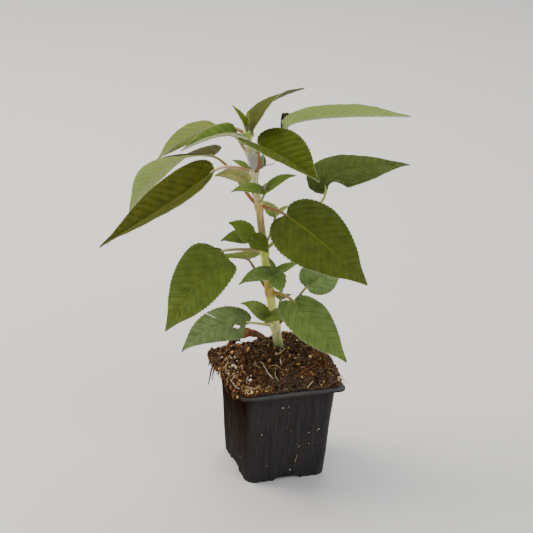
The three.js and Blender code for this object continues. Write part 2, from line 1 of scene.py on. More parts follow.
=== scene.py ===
import math

import bmesh
import bpy
import numpy as np
from mathutils import Matrix, Vector


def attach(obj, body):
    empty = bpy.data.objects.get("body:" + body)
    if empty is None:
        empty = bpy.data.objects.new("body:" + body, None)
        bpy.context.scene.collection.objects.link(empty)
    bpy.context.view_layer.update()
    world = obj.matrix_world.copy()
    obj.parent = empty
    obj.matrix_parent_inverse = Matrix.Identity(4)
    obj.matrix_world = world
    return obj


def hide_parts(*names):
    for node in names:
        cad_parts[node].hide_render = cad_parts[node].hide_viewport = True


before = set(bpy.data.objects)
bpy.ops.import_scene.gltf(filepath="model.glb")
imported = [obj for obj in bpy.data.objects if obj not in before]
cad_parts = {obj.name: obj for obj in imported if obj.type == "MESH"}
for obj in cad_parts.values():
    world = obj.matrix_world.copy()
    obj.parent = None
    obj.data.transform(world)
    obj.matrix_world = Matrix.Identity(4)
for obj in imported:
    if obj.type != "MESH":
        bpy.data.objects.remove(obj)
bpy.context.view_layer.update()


# The photograph's view

# A camera about 1.2 m away looks down past the near corner of the pot, with its horizon a little tilted.
# Its lens is a short telephoto, so the leaves keep nearly the same scale from front to back.
MM = 0.001
CAMERA_AT = Vector((-354, -1006, 612))
CAMERA_TURN, CAMERA_PITCH, CAMERA_ROLL = -18.8, 23.1, 2.22
# The lens in pixels of the photograph, the photograph's side in pixels, and a full-frame sensor
FOCAL_PIXELS, FRAME_PIXELS, SENSOR = 1622, 533, 36

turn, pitch, roll = (math.radians(angle) for angle in (CAMERA_TURN, CAMERA_PITCH, CAMERA_ROLL))
back = Vector((math.sin(turn) * math.cos(pitch), -math.cos(turn) * math.cos(pitch), math.sin(pitch)))
right = Vector((math.cos(turn), math.sin(turn), 0))
up = back.cross(right)
rolled_right = math.cos(roll) * right + math.sin(roll) * up
rolled_up = math.cos(roll) * up - math.sin(roll) * right
camera_data = bpy.data.cameras.new("camera")
camera_data.lens = SENSOR * FOCAL_PIXELS / FRAME_PIXELS
camera_data.sensor_width = SENSOR
camera = bpy.data.objects.new("camera", camera_data)
camera.matrix_world = Matrix((rolled_right, rolled_up, back)).transposed().to_4x4()
camera.location = CAMERA_AT * MM
bpy.context.scene.collection.objects.link(camera)
bpy.context.scene.camera = camera


# Floor and light

# A plain pale floor with soft studio light: a big softbox behind and to the left, a weaker one in front,
# and an even glow from all round. None of it is part of the plant.
FLOOR_COLOUR, FLOOR_CLOUD, FLOOR_CLOUDS = "#d9d6d1", "#d6d3ce", 3
FLOOR_HALF = 6000
SKY_COLOUR, SKY_STRENGTH = "#f4f6fb", 0.75
# Place, width, power in watts and colour of each softbox; all of them face the middle of the plant
SOFTBOXES = [
    ((-900, 700, 1500), 1100, 34, "#fffaf2"),
    ((700, -1500, 1300), 1400, 14, "#f2f6ff"),
    ((300, 900, 1500), 900, 12, "#ffffff"),
]
AIM = Vector((-10, 10, 130))


def linear(code):
    """An sRGB hex colour as linear red, green, blue and alpha."""
    values = [int(code[i:i + 2], 16) / 255 for i in (1, 3, 5)]
    return [v / 12.92 if v <= 0.04045 else ((v + 0.055) / 1.055) ** 2.4 for v in values] + [1]


def add(tree, kind, settings=None, links=None):
    """Adds a node with its settings (options, sockets' values, a ramp's stops) and its links."""
    made = tree.nodes.new("ShaderNode" + kind)
    for name, value in (settings or {}).items():
        if name == "stops":
            ramp = made.color_ramp.elements
            while len(ramp) < len(value):
                ramp.new(1)
            for stop, (place, code) in zip(ramp, value):
                stop.position = place
                stop.color = linear(code) if isinstance(code, str) else code
        elif isinstance(name, str) and hasattr(made, name):
            setattr(made, name, value)
        else:
            made.inputs[name].default_value = value
    for name, source in (links or {}).items():
        socket = source if isinstance(source, bpy.types.NodeSocket) else source.outputs[0]
        tree.links.new(socket, made.inputs[name])
    return made


def new_material(name, **constants):
    """A material and its shader, with the constants set on the shader's own sockets."""
    material = bpy.data.materials.new(name)
    material.use_nodes = True
    tree = material.node_tree
    shader = tree.nodes["Principled BSDF"]
    for socket, value in constants.items():
        shader.inputs[socket.replace("_", " ")].default_value = value
    return material, tree, shader


def make_piece(name, points, faces, materials, slots=None, attributes=None):
    """A smooth mesh piece from points in millimetres. Slots give each face's material by its number."""
    mesh = bpy.data.meshes.new(name)
    mesh.from_pydata((np.asarray(points, float) * MM).tolist(), [], [list(face) for face in faces])
    for material in materials:
        mesh.materials.append(material)
    if slots is not None:
        mesh.polygons.foreach_set("material_index", np.asarray(slots, np.int32))
    mesh.polygons.foreach_set("use_smooth", np.ones(len(mesh.polygons), bool))
    for label, values in (attributes or {}).items():
        layer = mesh.attributes.new(label, "FLOAT_VECTOR", "POINT")
        layer.data.foreach_set("vector", np.asarray(values, np.float32).ravel())
    mesh.update()
    piece = bpy.data.objects.new(name, mesh)
    bpy.context.scene.collection.objects.link(piece)
    return piece


# Matt wall paint: nearly even, with a few faint broad clouds across the floor that keep it from looking flat
floor_paint, tree, shader = new_material("matte_floor_paint", Roughness=0.9)
mottle = add(tree, "TexNoise", {"Scale": FLOOR_CLOUDS, "Detail": 2})
paint = add(tree, "ValToRGB", {"stops": [(0.3, FLOOR_CLOUD), (0.7, FLOOR_COLOUR)]}, {"Fac": mottle})
tree.links.new(paint.outputs[0], shader.inputs["Base Color"])
corners = [(-FLOOR_HALF, -FLOOR_HALF, 0), (FLOOR_HALF, -FLOOR_HALF, 0),
           (FLOOR_HALF, FLOOR_HALF, 0), (-FLOOR_HALF, FLOOR_HALF, 0)]
floor = make_piece("floor", corners, [(0, 1, 2, 3)], [floor_paint])

world = bpy.data.worlds.new("studio")
world.use_nodes = True
world.node_tree.nodes["Background"].inputs["Color"].default_value = linear(SKY_COLOUR)
world.node_tree.nodes["Background"].inputs["Strength"].default_value = SKY_STRENGTH
bpy.context.scene.world = world
for place, width, watts, colour in SOFTBOXES:
    light = bpy.data.lights.new("softbox", "AREA")
    light.size = width * MM
    light.energy = watts
    light.color = linear(colour)[:3]
    softbox = bpy.data.objects.new("softbox", light)
    softbox.location = Vector(place) * MM
    softbox.rotation_euler = (Vector(place) - AIM).to_track_quat("Z", "Y").to_euler()
    bpy.context.scene.collection.objects.link(softbox)


# Pot

# One thin shell of black polypropylene, vacuum-formed with fluted walls and a turned-down rim.
# Each side has an arched drain slot cut in its foot, and the floor has four drain holes.
POT_HEIGHT, WALL, GAP = 75, 1.2, 0.3
RIM_HALF, RIM_CORNER, LIP_DEPTH, LIP_THICKNESS = 40, 5, 2.7, 1.1
WALL_TOP_HALF, FOOT_HALF, WALL_CORNER = 35.2, 30.7, 8.5
# How far each edge is rounded: the foot, the lip's lower edge, its top edge and the mouth
FOOT_ROUND, LIP_ROUND, TOP_ROUND, MOUTH_ROUND = 0.7, 0.3, 1.1, 1.2
WALL_WAVE, WAVE_LENGTH = 0.18, 9
FLUTES, FLUTE_DEPTH = 8, 0.4
# Unevenness across a wall: depth, waves in its width, and where they start
UNEVEN = [(0.05, 31, 0), (0.1, 4.3, 1)]
GROOVE_DEPTH, GROOVE_STEP, GROOVE_WIDTH = 0.22, 0.12, 0.007
# Where each wall's narrow grooves lie, as shares of its width, for the walls at +X, +Y, -X and -Y
GROOVES = [
    (0.08, 0.13, 0.31, 0.44, 0.47, 0.69, 0.86, 0.9), (0.05, 0.22, 0.37, 0.4, 0.58, 0.77, 0.93),
    (0.06, 0.1, 0.16, 0.27, 0.33, 0.45, 0.61, 0.66, 0.82, 0.91),
    (0.03, 0.07, 0.19, 0.47, 0.485, 0.58, 0.66, 0.78, 0.8, 0.91, 0.93, 0.985),
]
WALL_STEPS = 160
DRAIN_SLOT_WIDTH, DRAIN_SLOT_HEIGHT, DRAIN_SLOT_DEPTH = 20, 3.6, 6
DRAIN_HOLE_RADIUS, DRAIN_HOLE_FROM_MIDDLE = 3.2, 17


def square_ring(half, corner, z, relief=None, steps=96, arc=10):
    """A square with rounded corners as rows of points. Relief takes a side and the shares along it."""
    straight = half - corner
    share = np.arange(steps + 1) / steps
    bend = np.pi / 2 * np.arange(1, arc) / arc
    y = np.concatenate([straight * (2 * share - 1), straight + corner * np.sin(bend)])
    sides = []
    for side in range(4):
        flat = half - (relief(side, share) if relief else 0 * share)
        x = np.concatenate([flat, straight + corner * np.cos(bend)])
        c, s = round(math.cos(side * math.pi / 2)), round(math.sin(side * math.pi / 2))
        sides.append(np.stack([x * c - y * s, x * s + y * c, np.full(len(x), float(z))], 1))
    return np.concatenate(sides)


def tube_faces(rings, around, start=0):
    """The quads between rings of points, each ring closed."""
    row, column = np.meshgrid(np.arange(rings - 1), np.arange(around), indexing="ij")
    a = start + row * around + column
    b = start + row * around + (column + 1) % around
    return np.stack([a, b, b + around, a + around], -1).reshape(-1, 4)


def closed_tube(rings, first, last):
    """Points and faces of a tube through equal rings, closed by a fan to a point at each end."""
    around, count = len(rings[0]), len(rings)
    points = np.concatenate([*rings, [first], [last]])
    start, end, top = count * around, count * around + 1, (count - 1) * around
    faces = tube_faces(count, around).tolist()
    for i in range(around):
        j = (i + 1) % around
        faces.append([start, j, i])
        faces.append([end, top + i, top + j])
    return points, outward(points, faces)


def outward(points, faces):
    """The faces, turned over if they enclose a negative volume."""
    points = np.asarray(points, float)
    halves = [[face[0], *face[2:]] for face in faces if len(face) == 4]
    thirds = np.array([face[:3] for face in faces] + halves)
    a, b, c = (points[thirds[:, i]] for i in range(3))
    volume = np.einsum("ij,ij->i", a, np.cross(b, c)).sum()
    return faces if volume > 0 else [face[::-1] for face in faces]


def wall_half(z):
    """Half the width of the tapered wall at a height."""
    return FOOT_HALF + (WALL_TOP_HALF - FOOT_HALF) * z / (POT_HEIGHT - LIP_DEPTH)


def flutes(side, share):
    """One wall's shallow flutes and its narrow, unevenly spaced grooves, as a depth into the wall."""
    deep = FLUTE_DEPTH * (0.5 - 0.5 * np.cos(2 * np.pi * FLUTES * share))
    for depth, waves, start in UNEVEN:
        deep = deep + depth * np.sin(2 * np.pi * waves * share + start + side)
    for k, at in enumerate(GROOVES[side]):
        deep = deep + (GROOVE_DEPTH + GROOVE_STEP * (k % 3)) * np.exp(-((share - at) / GROOVE_WIDTH) ** 2)
    return deep


def pot_rings():
    """The shell's rings from the middle of its underside, over the flange, down to its inner floor."""
    lip_inside, lip_foot = RIM_HALF - LIP_THICKNESS, POT_HEIGHT - LIP_DEPTH + LIP_ROUND
    flange_under = POT_HEIGHT - WALL
    mouth = wall_half(POT_HEIGHT) - WALL
    inner_corner = WALL_CORNER - WALL / 2
    # Each ring's half width, corner and height, and its relief where it has one
    plans = [(FOOT_HALF - 8, WALL_CORNER - 4, 0)]
    for turn in np.radians([0, 30, 60, 90]):
        inset = FOOT_ROUND * (1 - math.sin(turn))
        plans.append((FOOT_HALF - inset, WALL_CORNER - inset, FOOT_ROUND * (1 - math.cos(turn)), flutes))
    for z in np.linspace(3, flange_under, 16):
        wave = WALL_WAVE * math.sin(z / WAVE_LENGTH) * math.sin(z * math.pi / flange_under)
        plans.append((wall_half(z) + wave, WALL_CORNER, z, flutes))
    # Out under the flange and down the inside of the lip, round its lower edge, and over its top
    plans.append((lip_inside - 0.4, RIM_CORNER - 0.9, flange_under))
    plans.append((lip_inside, RIM_CORNER - 0.5, flange_under - 0.4))
    plans.append((lip_inside, RIM_CORNER - 0.5, lip_foot))
    for turn in np.radians([0, 45, 90, 135, 180]):
        plans.append((RIM_HALF - 0.5 - 0.5 * math.cos(turn), RIM_CORNER,
                      lip_foot - LIP_ROUND * math.sin(turn)))
    for turn in np.radians([0, 22, 45, 68, 90]):
        plans.append((RIM_HALF - TOP_ROUND * (1 - math.cos(turn)), RIM_CORNER,
                      POT_HEIGHT - TOP_ROUND * (1 - math.sin(turn))))
    # Over the mouth's edge and down the inside to the floor
    for turn in np.radians([0, 30, 60, 90]):
        plans.append((mouth + MOUTH_ROUND * (1 - math.sin(turn)), WALL_CORNER,
                      POT_HEIGHT - MOUTH_ROUND * (1 - math.cos(turn))))
    for z in np.linspace(POT_HEIGHT - 8, WALL + 0.8, 8):
        plans.append((wall_half(z) - WALL, inner_corner, z))
    plans.append((wall_half(0) - WALL - 0.8, inner_corner, WALL))
    return [square_ring(*plan, steps=WALL_STEPS) for plan in plans]


def prism(outline, low, high, name):
    """A closed prism over an outline in X and Z, from one Y to another, as a cutter."""
    count = len(outline)
    points = [(x, low, z) for x, z in outline] + [(x, high, z) for x, z in outline]
    faces = [list(range(count)), [count + i for i in reversed(range(count))]]
    faces += [[i + count, (i + 1) % count + count, (i + 1) % count, i] for i in range(count)]
    return make_piece(name, points, faces, [])


def cut_away(piece, cutters):
    """Cuts the cutters out of a piece for good, and removes them."""
    for cutter in cutters:
        modifier = piece.modifiers.new("cut", "BOOLEAN")
        modifier.object = cutter
        modifier.operation = "DIFFERENCE"
        modifier.solver = "EXACT"
    bpy.context.view_layer.update()
    seen = piece.evaluated_get(bpy.context.evaluated_depsgraph_get())
    piece.data = bpy.data.meshes.new_from_object(seen)
    piece.modifiers.clear()
    for cutter in cutters:
        bpy.data.objects.remove(cutter)


# Vacuum-formed polypropylene: near black and satin, a little streaky down the flutes, with a painted
# highlight of pale grey along the top of the lip. The spilt compost has left matt brown dust on the left
# wall. IOR of polypropylene. A pattern's scale, here and below, is its grains in a millimetre, over MM.
POT_BLACKS = [(0.34, "#292827"), (0.5, "#2f2d2c"), (0.68, "#363433")]
DUST, HANDLED, LIP_HIGHLIGHT = "#22130a", "#4b4e52", "#8e8c87"
polypropylene, tree, shader = new_material("vacuum_formed_polypropylene", IOR=1.49)
place = add(tree, "TexCoord").outputs["Object"]
split = add(tree, "SeparateXYZ", {}, {"Vector": place})
tall = add(tree, "Mapping", {"Scale": (0.9 / MM, 0.9 / MM, 0.012 / MM)}, {"Vector": place})
streak = add(tree, "TexNoise", {"Scale": 1, "Detail": 4, "Roughness": 0.6}, {"Vector": tall})
haze = add(tree, "TexNoise", {"Scale": 0.06 / MM, "Detail": 5, "Roughness": 0.65}, {"Vector": place})
black = add(tree, "ValToRGB", {"stops": POT_BLACKS}, {"Fac": streak})
leftward = add(tree, "MapRange", {"From Min": -29 * MM, "From Max": -34.5 * MM, "To Max": 1.9},
               {"Value": split.outputs["X"]})
dusty = add(tree, "Math", {"operation": "MULTIPLY"}, {0: leftward, 1: streak})
black = add(tree, "Mix", {"data_type": "RGBA", 7: linear(DUST)}, {"Factor": dusty, 6: black})
worn = add(tree, "MapRange", {"From Min": 0.58, "From Max": 0.85, "To Max": 0.1}, {"Value": haze})
black = add(tree, "Mix", {"data_type": "RGBA", 7: linear(HANDLED)}, {"Factor": worn, 6: black.outputs[2]})
# Painted highlight: the top 2 mm of the lip turn pale grey in patches, standing in for the satin light along
# the rim
lip = add(tree, "MapRange", {"From Min": (POT_HEIGHT - 2) * MM, "From Max": POT_HEIGHT * MM, "To Max": 0.35},
          {"Value": split.outputs["Z"]})
lip = add(tree, "Math", {"operation": "MULTIPLY"}, {0: lip, 1: haze})
black = add(tree, "Mix", {"data_type": "RGBA", 7: linear(LIP_HIGHLIGHT)}, {"Factor": lip, 6: black.outputs[2]})
tree.links.new(black.outputs[2], shader.inputs["Base Color"])
rough = {"From Min": 0.25, "From Max": 0.75, "To Min": 0.3, "To Max": 0.52}
rough = add(tree, "MapRange", rough, {"Value": haze})
rough = add(tree, "Math", {"operation": "MULTIPLY_ADD", 1: 0.4}, {0: dusty, 2: rough})
tree.links.new(rough.outputs[0], shader.inputs["Roughness"])
gloss = add(tree, "MapRange", {"From Max": 0.8, "To Min": 0.06, "To Max": 0.0}, {"Value": dusty})
tree.links.new(gloss.outputs[0], shader.inputs["Specular IOR Level"])
ripple = add(tree, "Bump", {"Strength": 0.2, "Distance": 0.3 * MM}, {"Height": streak})
tree.links.new(ripple.outputs[0], shader.inputs["Normal"])

points, faces = closed_tube(pot_rings(), (0, 0, 0), (0, 0, WALL))
pot_shell = make_piece("pot_shell", points, faces, [polypropylene])
cutters = []
for side in range(4):
    arch = [(DRAIN_SLOT_WIDTH / 2 * math.cos(t), DRAIN_SLOT_HEIGHT * math.sin(t))
            for t in np.linspace(0, math.pi, 21)]
    arch += [(-DRAIN_SLOT_WIDTH / 2, -WALL), (DRAIN_SLOT_WIDTH / 2, -WALL)]
    slot = prism(arch, -FOOT_HALF - 2 * WALL, -FOOT_HALF + DRAIN_SLOT_DEPTH, "slot")
    slot.data.transform(Matrix.Rotation(side * math.pi / 2, 4, "Z"))
    circle = [(DRAIN_HOLE_RADIUS * math.cos(t), DRAIN_HOLE_RADIUS * math.sin(t))
              for t in np.linspace(0, 2 * math.pi, 32, endpoint=False)]
    hole = prism(circle, -2 * WALL, 2 * WALL, "hole")
    hole.data.transform(Matrix.Rotation(math.pi / 2, 4, "X"))
    hole.data.transform(Matrix.Translation((DRAIN_HOLE_FROM_MIDDLE * MM, 0, 0)))
    hole.data.transform(Matrix.Rotation((side + 0.5) * math.pi / 2, 4, "Z"))
    cutters += [slot, hole]
cut_away(pot_shell, cutters)
pot_shell.data.polygons.foreach_set("use_smooth", np.ones(len(pot_shell.data.polygons), bool))
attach(pot_shell, "root")
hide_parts("pot")


# Compost

# Peat with bark fibre, pressed round the roots and heaped over the rim. It holds together as one lump,
# dark and crumbly, with coarser crumbs lying loose on it.
MOUND_RISE, COMPOST_EDGE, SEED = 14, 1.3, 11
CRUMB, GRAIN = (6.5, 3.4), (3, 2)
# Rises of the mound and spills over the rim: place, radius and by how much
LUMPS = [(-36, 34, 10, -1.5), (39, 2, 22, 5), (10, 22, 15, 6)]
SPILLS = [(-40, 34, 22, 3.6), (-40, -4, 24, 1.8), (40, 0, 30, 2.4)]
EDGE_INSET, FRONT_PULL, FRONT_REACH = 0.8, 2.6, 12
# Finer relief than the solid has, of the surface and of the edge: size and height of each layer
FINE_RELIEF, RAGGED_EDGE = [(1.7, 1.5), (0.9, 0.9)], [(2.1, 1.6), (1, 1)]
MOUND_RINGS = 112


def lattice(x, y):
    """Smooth noise between -0.5 and 0.5 over points of a grid, the same as the solid's."""
    def corner(ix, iy):
        value = np.sin(ix * 127.1 + iy * 311.7 + SEED) * 43758.5453
        return value - np.floor(value)
    ix, iy = np.floor(x), np.floor(y)
    sx, sy = (t * t * (3 - 2 * t) for t in (x - ix, y - iy))
    low = corner(ix, iy) * (1 - sx) + corner(ix + 1, iy) * sx
    high = corner(ix, iy + 1) * (1 - sx) + corner(ix + 1, iy + 1) * sx
    return low * (1 - sy) + high * sy - 0.5


def bumps(x, y, places):
    """How much smooth round rises add up to over some places."""
    return sum(by * np.exp(-((x - px) ** 2 + (y - py) ** 2) / radius ** 2) for px, py, radius, by in places)


def mound_top(x, y, ratio):
    """Height of the compost. The ratio is 0 in the middle and 1 at its edge."""
    rough = CRUMB[1] * lattice(x / CRUMB[0], y / CRUMB[0])
    rough = rough + GRAIN[1] * lattice(x / GRAIN[0] + 40, y / GRAIN[0] + 40)
    rough = rough + sum(height * lattice(x / size + 7, y / size - 9) for size, height in FINE_RELIEF)
    rise = MOUND_RISE * (1 - ratio ** 2.4) + bumps(x, y, LUMPS) * (1 - 0.5 * ratio ** 16)
    return POT_HEIGHT + GAP + COMPOST_EDGE + rise + rough * (1 - 0.65 * ratio ** 6)


def compost_edge():
    """The compost's edge over the rim, with a ragged fringe. It stays behind the front rim."""
    edge = square_ring(RIM_HALF, RIM_CORNER + 1, 0)
    x, y = edge[:, 0], edge[:, 1]
    spill = bumps(x, y, SPILLS) - FRONT_PULL * np.exp(-((y + RIM_HALF) / FRONT_REACH) ** 2) - EDGE_INSET
    spill = spill + sum(by * lattice(x / size, y / size) for size, by in RAGGED_EDGE)
    return edge * (1 + spill / np.hypot(x, y))[:, None]


def compost_rings():
    """The compost's rings: up inside the pot, out over its rim, and in from the edge to the middle."""
    inner_top = wall_half(POT_HEIGHT) - WALL - GAP
    corner = WALL_CORNER - WALL / 2 - GAP
    under = POT_HEIGHT + GAP
    rings = [square_ring(wall_half(0) - WALL - GAP, corner, WALL + GAP)]
    rings += [square_ring(wall_half(z) - WALL - GAP, corner, z) for z in (10, 25, 45, 60)]
    rings += [square_ring(inner_top, corner, POT_HEIGHT - 1.2), square_ring(inner_top, corner, under)]
    edge = compost_edge()
    for share in (0.5, 0.9):
        rings.append(rings[-1] * (1 - share) + (edge + (0, 0, under)) * share)
    for r in range(MOUND_RINGS):
        ratio = 1 - (r / MOUND_RINGS) ** 1.15
        flat = edge * ratio
        top = mound_top(flat[:, 0], flat[:, 1], ratio)
        rings.append(flat + np.stack([0 * top, 0 * top, top], 1))
    return rings


# Moist peat: very dark brown and matt, darkened further as painted shade for the gaps between the loose
# crumbs, ruddy with bark fibre at the sides, with pale dried grains towards the right and a crumb of about
# 1.5 mm.
# IOR as for most organic matter.
PEATS = [(0.3, "#0f0b08"), (0.5, "#3b2d20"), (0.64, "#6c563c"), (0.78, "#a88c62")]
RUDDY_PEATS = [(0.3, "#140904"), (0.5, "#4c2a12"), (0.66, "#875226")]
DRIED_GRAIN = "#8a7550"
peat, tree, shader = new_material("moist_peat", IOR=1.45, Roughness=0.92, Specular_IOR_Level=0.25)
place = add(tree, "TexCoord").outputs["Object"]
split = add(tree, "SeparateXYZ", {}, {"Vector": place})
crumb = add(tree, "TexNoise", {"Scale": 0.65 / MM, "Detail": 6, "Roughness": 0.7}, {"Vector": place})
patch = add(tree, "TexNoise", {"Scale": 0.07 / MM, "Detail": 3}, {"Vector": place})
grit = add(tree, "TexVoronoi", {"Scale": 0.9 / MM}, {"Vector": place})
dark = add(tree, "ValToRGB", {"stops": PEATS}, {"Fac": crumb})
ruddy = add(tree, "ValToRGB", {"stops": RUDDY_PEATS}, {"Fac": crumb})
sideways = add(tree, "Math", {"operation": "ABSOLUTE"}, {0: split.outputs["X"]})
sides = add(tree, "MapRange", {"From Min": 14 * MM, "From Max": 34 * MM}, {"Value": sideways})
mostly = add(tree, "MapRange", {"From Min": 0.38, "From Max": 0.56}, {"Value": patch})
mostly = add(tree, "Math", {"operation": "MULTIPLY"}, {0: mostly, 1: sides})
brown = add(tree, "Mix", {"data_type": "RGBA"}, {"Factor": mostly, 6: dark, 7: ruddy})
dry = add(tree, "MapRange", {"From Min": -10 * MM, "From Max": 30 * MM, "To Max": 0.6},
          {"Value": split.outputs["X"]})
pale = add(tree, "Math", {"operation": "GREATER_THAN", 1: 0.78}, {0: grit.outputs["Color"]})
pale = add(tree, "Math", {"operation": "MULTIPLY"}, {0: pale, 1: dry})
brown = add(tree, "Mix", {"data_type": "RGBA", 7: linear(DRIED_GRAIN)}, {"Factor": pale, 6: brown.outputs[2]})
tree.links.new(brown.outputs[2], shader.inputs["Base Color"])
crumbly = add(tree, "Bump", {"Strength": 0.9, "Distance": 1.2 * MM}, {"Height": crumb})
tree.links.new(crumbly.outputs[0], shader.inputs["Normal"])

middle_top = mound_top(np.array([0.0]), np.array([0.0]), 0.0)[0]
points, faces = closed_tube(compost_rings(), (0, 0, WALL + GAP), (0, 0, middle_top))
compost_mound = make_piece("compost_mound", points, faces, [peat])
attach(compost_mound, "root")
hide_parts("compost")


# Bark

# One thin curled scrap of reddish conifer bark that the compost mix held, arched over the back left.
BARK_LINE = [(-26, 42, 76), (-21, 40, 85), (-13, 36, 90), (-5, 31, 89.5), (3, 26, 84)]
BARK_WIDTH, BARK_THICKNESS, BARK_STEPS = 9, 1.6, 60
# Unevenness of its edge: share of the half width, and waves along the scrap
BARK_EDGE = [(0.12, 17), (0.06, 41)]


def cubic(first, last, start, end, whole):
    """Points of a cubic between two points with their slopes. Only a whole one has its last point."""
    t = np.linspace(0, 1, 40, endpoint=whole)[:, None]
    return ((2 * t ** 3 - 3 * t ** 2 + 1) * first + (t ** 3 - 2 * t ** 2 + t) * start
            + (3 * t ** 2 - 2 * t ** 3) * last + (t ** 3 - t ** 2) * end)


def curve_through(line, steps):
    """Evenly spaced points and tangents on a centripetal Catmull-Rom curve, the same as the solid's."""
    p = np.array(line, float)
    p = np.vstack([2 * p[0] - p[1], p, 2 * p[-1] - p[-2]])
    samples = []
    for i in range(1, len(p) - 2):
        before, first, last, after = p[i - 1:i + 3]
        gaps = [np.linalg.norm(p[i + k] - p[i + k - 1]) ** 0.5 for k in (0, 1, 2)]
        across = (last - first) / gaps[1]
        start = (first - before) / gaps[0] - (last - before) / (gaps[0] + gaps[1]) + across
        end = across - (after - first) / (gaps[1] + gaps[2]) + (after - last) / gaps[2]
        samples.append(cubic(first, last, start * gaps[1], end * gaps[1], i == len(p) - 3))
    return even(np.concatenate(samples), steps)


def even(samples, steps):
    """Evenly spaced points and tangents along a line of samples."""
    along = np.concatenate([[0], np.cumsum(np.linalg.norm(np.diff(samples, axis=0), axis=1))])
    wanted = np.linspace(0, along[-1], steps + 1)
    points = np.stack([np.interp(wanted, along, samples[:, k]) for k in range(samples.shape[1])], 1)
    tangents = np.gradient(points, axis=0)
    return points, tangents / np.linalg.norm(tangents, axis=1)[:, None]


def unit(vectors):
    """The vectors at length 1."""
    return vectors / np.linalg.norm(vectors, axis=-1, keepdims=True)


# Conifer bark: matt reddish brown, with darker furrows along its length and paler flakes
BARK_BROWNS = [(0.32, "#1a0c05"), (0.5, "#5a2f12"), (0.72, "#8a5226")]
conifer_bark, tree, shader = new_material("conifer_bark", Roughness=0.85, IOR=1.5, Specular_IOR_Level=0.3)
place = add(tree, "TexCoord").outputs["Object"]
furrow = add(tree, "TexNoise", {"Scale": 0.26 / MM, "Detail": 6, "Distortion": 0.6}, {"Vector": place})
colour = add(tree, "ValToRGB", {"stops": BARK_BROWNS}, {"Fac": furrow})
tree.links.new(colour.outputs[0], shader.inputs["Base Color"])
furrowed = add(tree, "Bump", {"Strength": 0.8, "Distance": 0.8 * MM}, {"Height": furrow})
tree.links.new(furrowed.outputs[0], shader.inputs["Normal"])

line, tangents = curve_through(BARK_LINE, BARK_STEPS)
turn = np.linspace(0, 2 * np.pi, 24, endpoint=False)
rings = []
for i, (point, tangent) in enumerate(zip(line, tangents)):
    u = i / BARK_STEPS
    across = unit(np.array([-tangent[1], tangent[0], 0.5 * math.sin(4 * u)]))
    normal = unit(np.cross(tangent, across))
    half = 0.45 + 0.55 * math.sin(math.pi * u)
    half = BARK_WIDTH / 2 * (half + sum(by * math.sin(waves * u) for by, waves in BARK_EDGE))
    # A flat oval, curled over its width like a roof tile
    x = np.sign(np.cos(turn)) * np.abs(np.cos(turn)) ** 0.7
    y = 0.45 * np.sin(turn) + 0.55 * (1 - x * x) - 0.1 + 0.25 * lattice(x * 2 + 5, turn * 0 + u * 22)
    rings.append(point + np.outer(x * half, across) + np.outer(y * BARK_THICKNESS, normal))
points, faces = closed_tube(rings, line[0], line[-1])
bark = make_piece("bark", points, faces, [conifer_bark])
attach(bark, "root")
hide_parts("bark_scrap")


# Loose bits on the compost

# What lies in and on the mound: peat crumbs, bark fibres, fine roots, white perlite and grit, some of it
# clinging to the rim's left side. Each kind is one piece, and its bits sit in the mound's surface.
CRUMBS, RIM_CRUMBS, CAUGHT_CRUMBS = 1500, 300, 90
FIBRES, HANGING_FIBRES, STRAWS, GRITS, SPECKS_A_WALL = 620, 90, 95, 420, 12
# The stem stands in a bare patch: its middle, and how near to it crumbs and fibres come
BARE_AT, CRUMBS_OFF, FIBRES_OFF = np.array([3, 5]), 5.5, 4.6
chance = np.random.default_rng(5154)
EDGE_RING = compost_edge()
EDGE_TURN = np.arctan2(EDGE_RING[:, 1], EDGE_RING[:, 0])
ORDER = np.argsort(EDGE_TURN)
# Perlite and grit that stands out: place on the mound, half size and tone from white 0 to orange 1
GRAINS = [
    (-30, 9.1, 0.7, 0), (-36.1, 6.3, 0.7, 0), (-34.2, 0.2, 1.3, 0), (-36.2, 1.1, 0.9, 0.1),
    (-33.3, -4.4, 1.3, 0), (-33.5, -9.9, 0.7, 0), (-38.2, 4.5, 1, 0.8), (-39, -5.7, 0.7, 0),
    (-37.6, -13.7, 0.7, 0), (-39.5, -13.3, 0.6, 0), (-35.6, -22.1, 1, 0.4), (-36.9, -25, 1.3, 0.75),
    (-29.8, -27.2, 1.1, 0.1), (-27.8, -23, 0.7, 0.1), (-39.5, -18.1, 0.8, 0.1), (-3.7, -6.1, 1, 0.4),
    (17.2, 8, 0.8, 0), (11.2, 15.9, 1.3, 0.9), (-5, 8.6, 0.9, 0.4), (-4.4, 15.5, 0.7, 0.4),
    (-37.2, 25.9, 0.7, 0.8), (-37.2, 18, 0.6, 0), (-32, 12.4, 0.5, 0), (-30.1, 3.8, 0.5, 0),
    (-22.6, -13.4, 0.5, 0), (-1.1, -14.5, 0.5, 0), (30.2, -29.2, 0.5, 0.5), (18.5, -29.7, 0.7, 0.9),
    (25.2, -16.4, 0.5, 0.4), (19.1, -18.2, 0.5, 0), (0.4, -3.1, 0.7, 0.4), (-24, -36.5, 1, 0.9),
    (-20, -36.4, 0.7, 0.4), (-17, -36.5, 0.7, 0.2), (-14, -36.6, 0.6, 0.3), (-10.5, -36.7, 0.6, 0.2),
    (-7, -36.6, 0.5, 0.4), (-27.5, -36.3, 0.7, 0.3), (-31, -36.2, 0.8, 0.3), (-34, -35.8, 0.7, 0.2),
    (-37.5, -33, 0.8, 0.1),
]
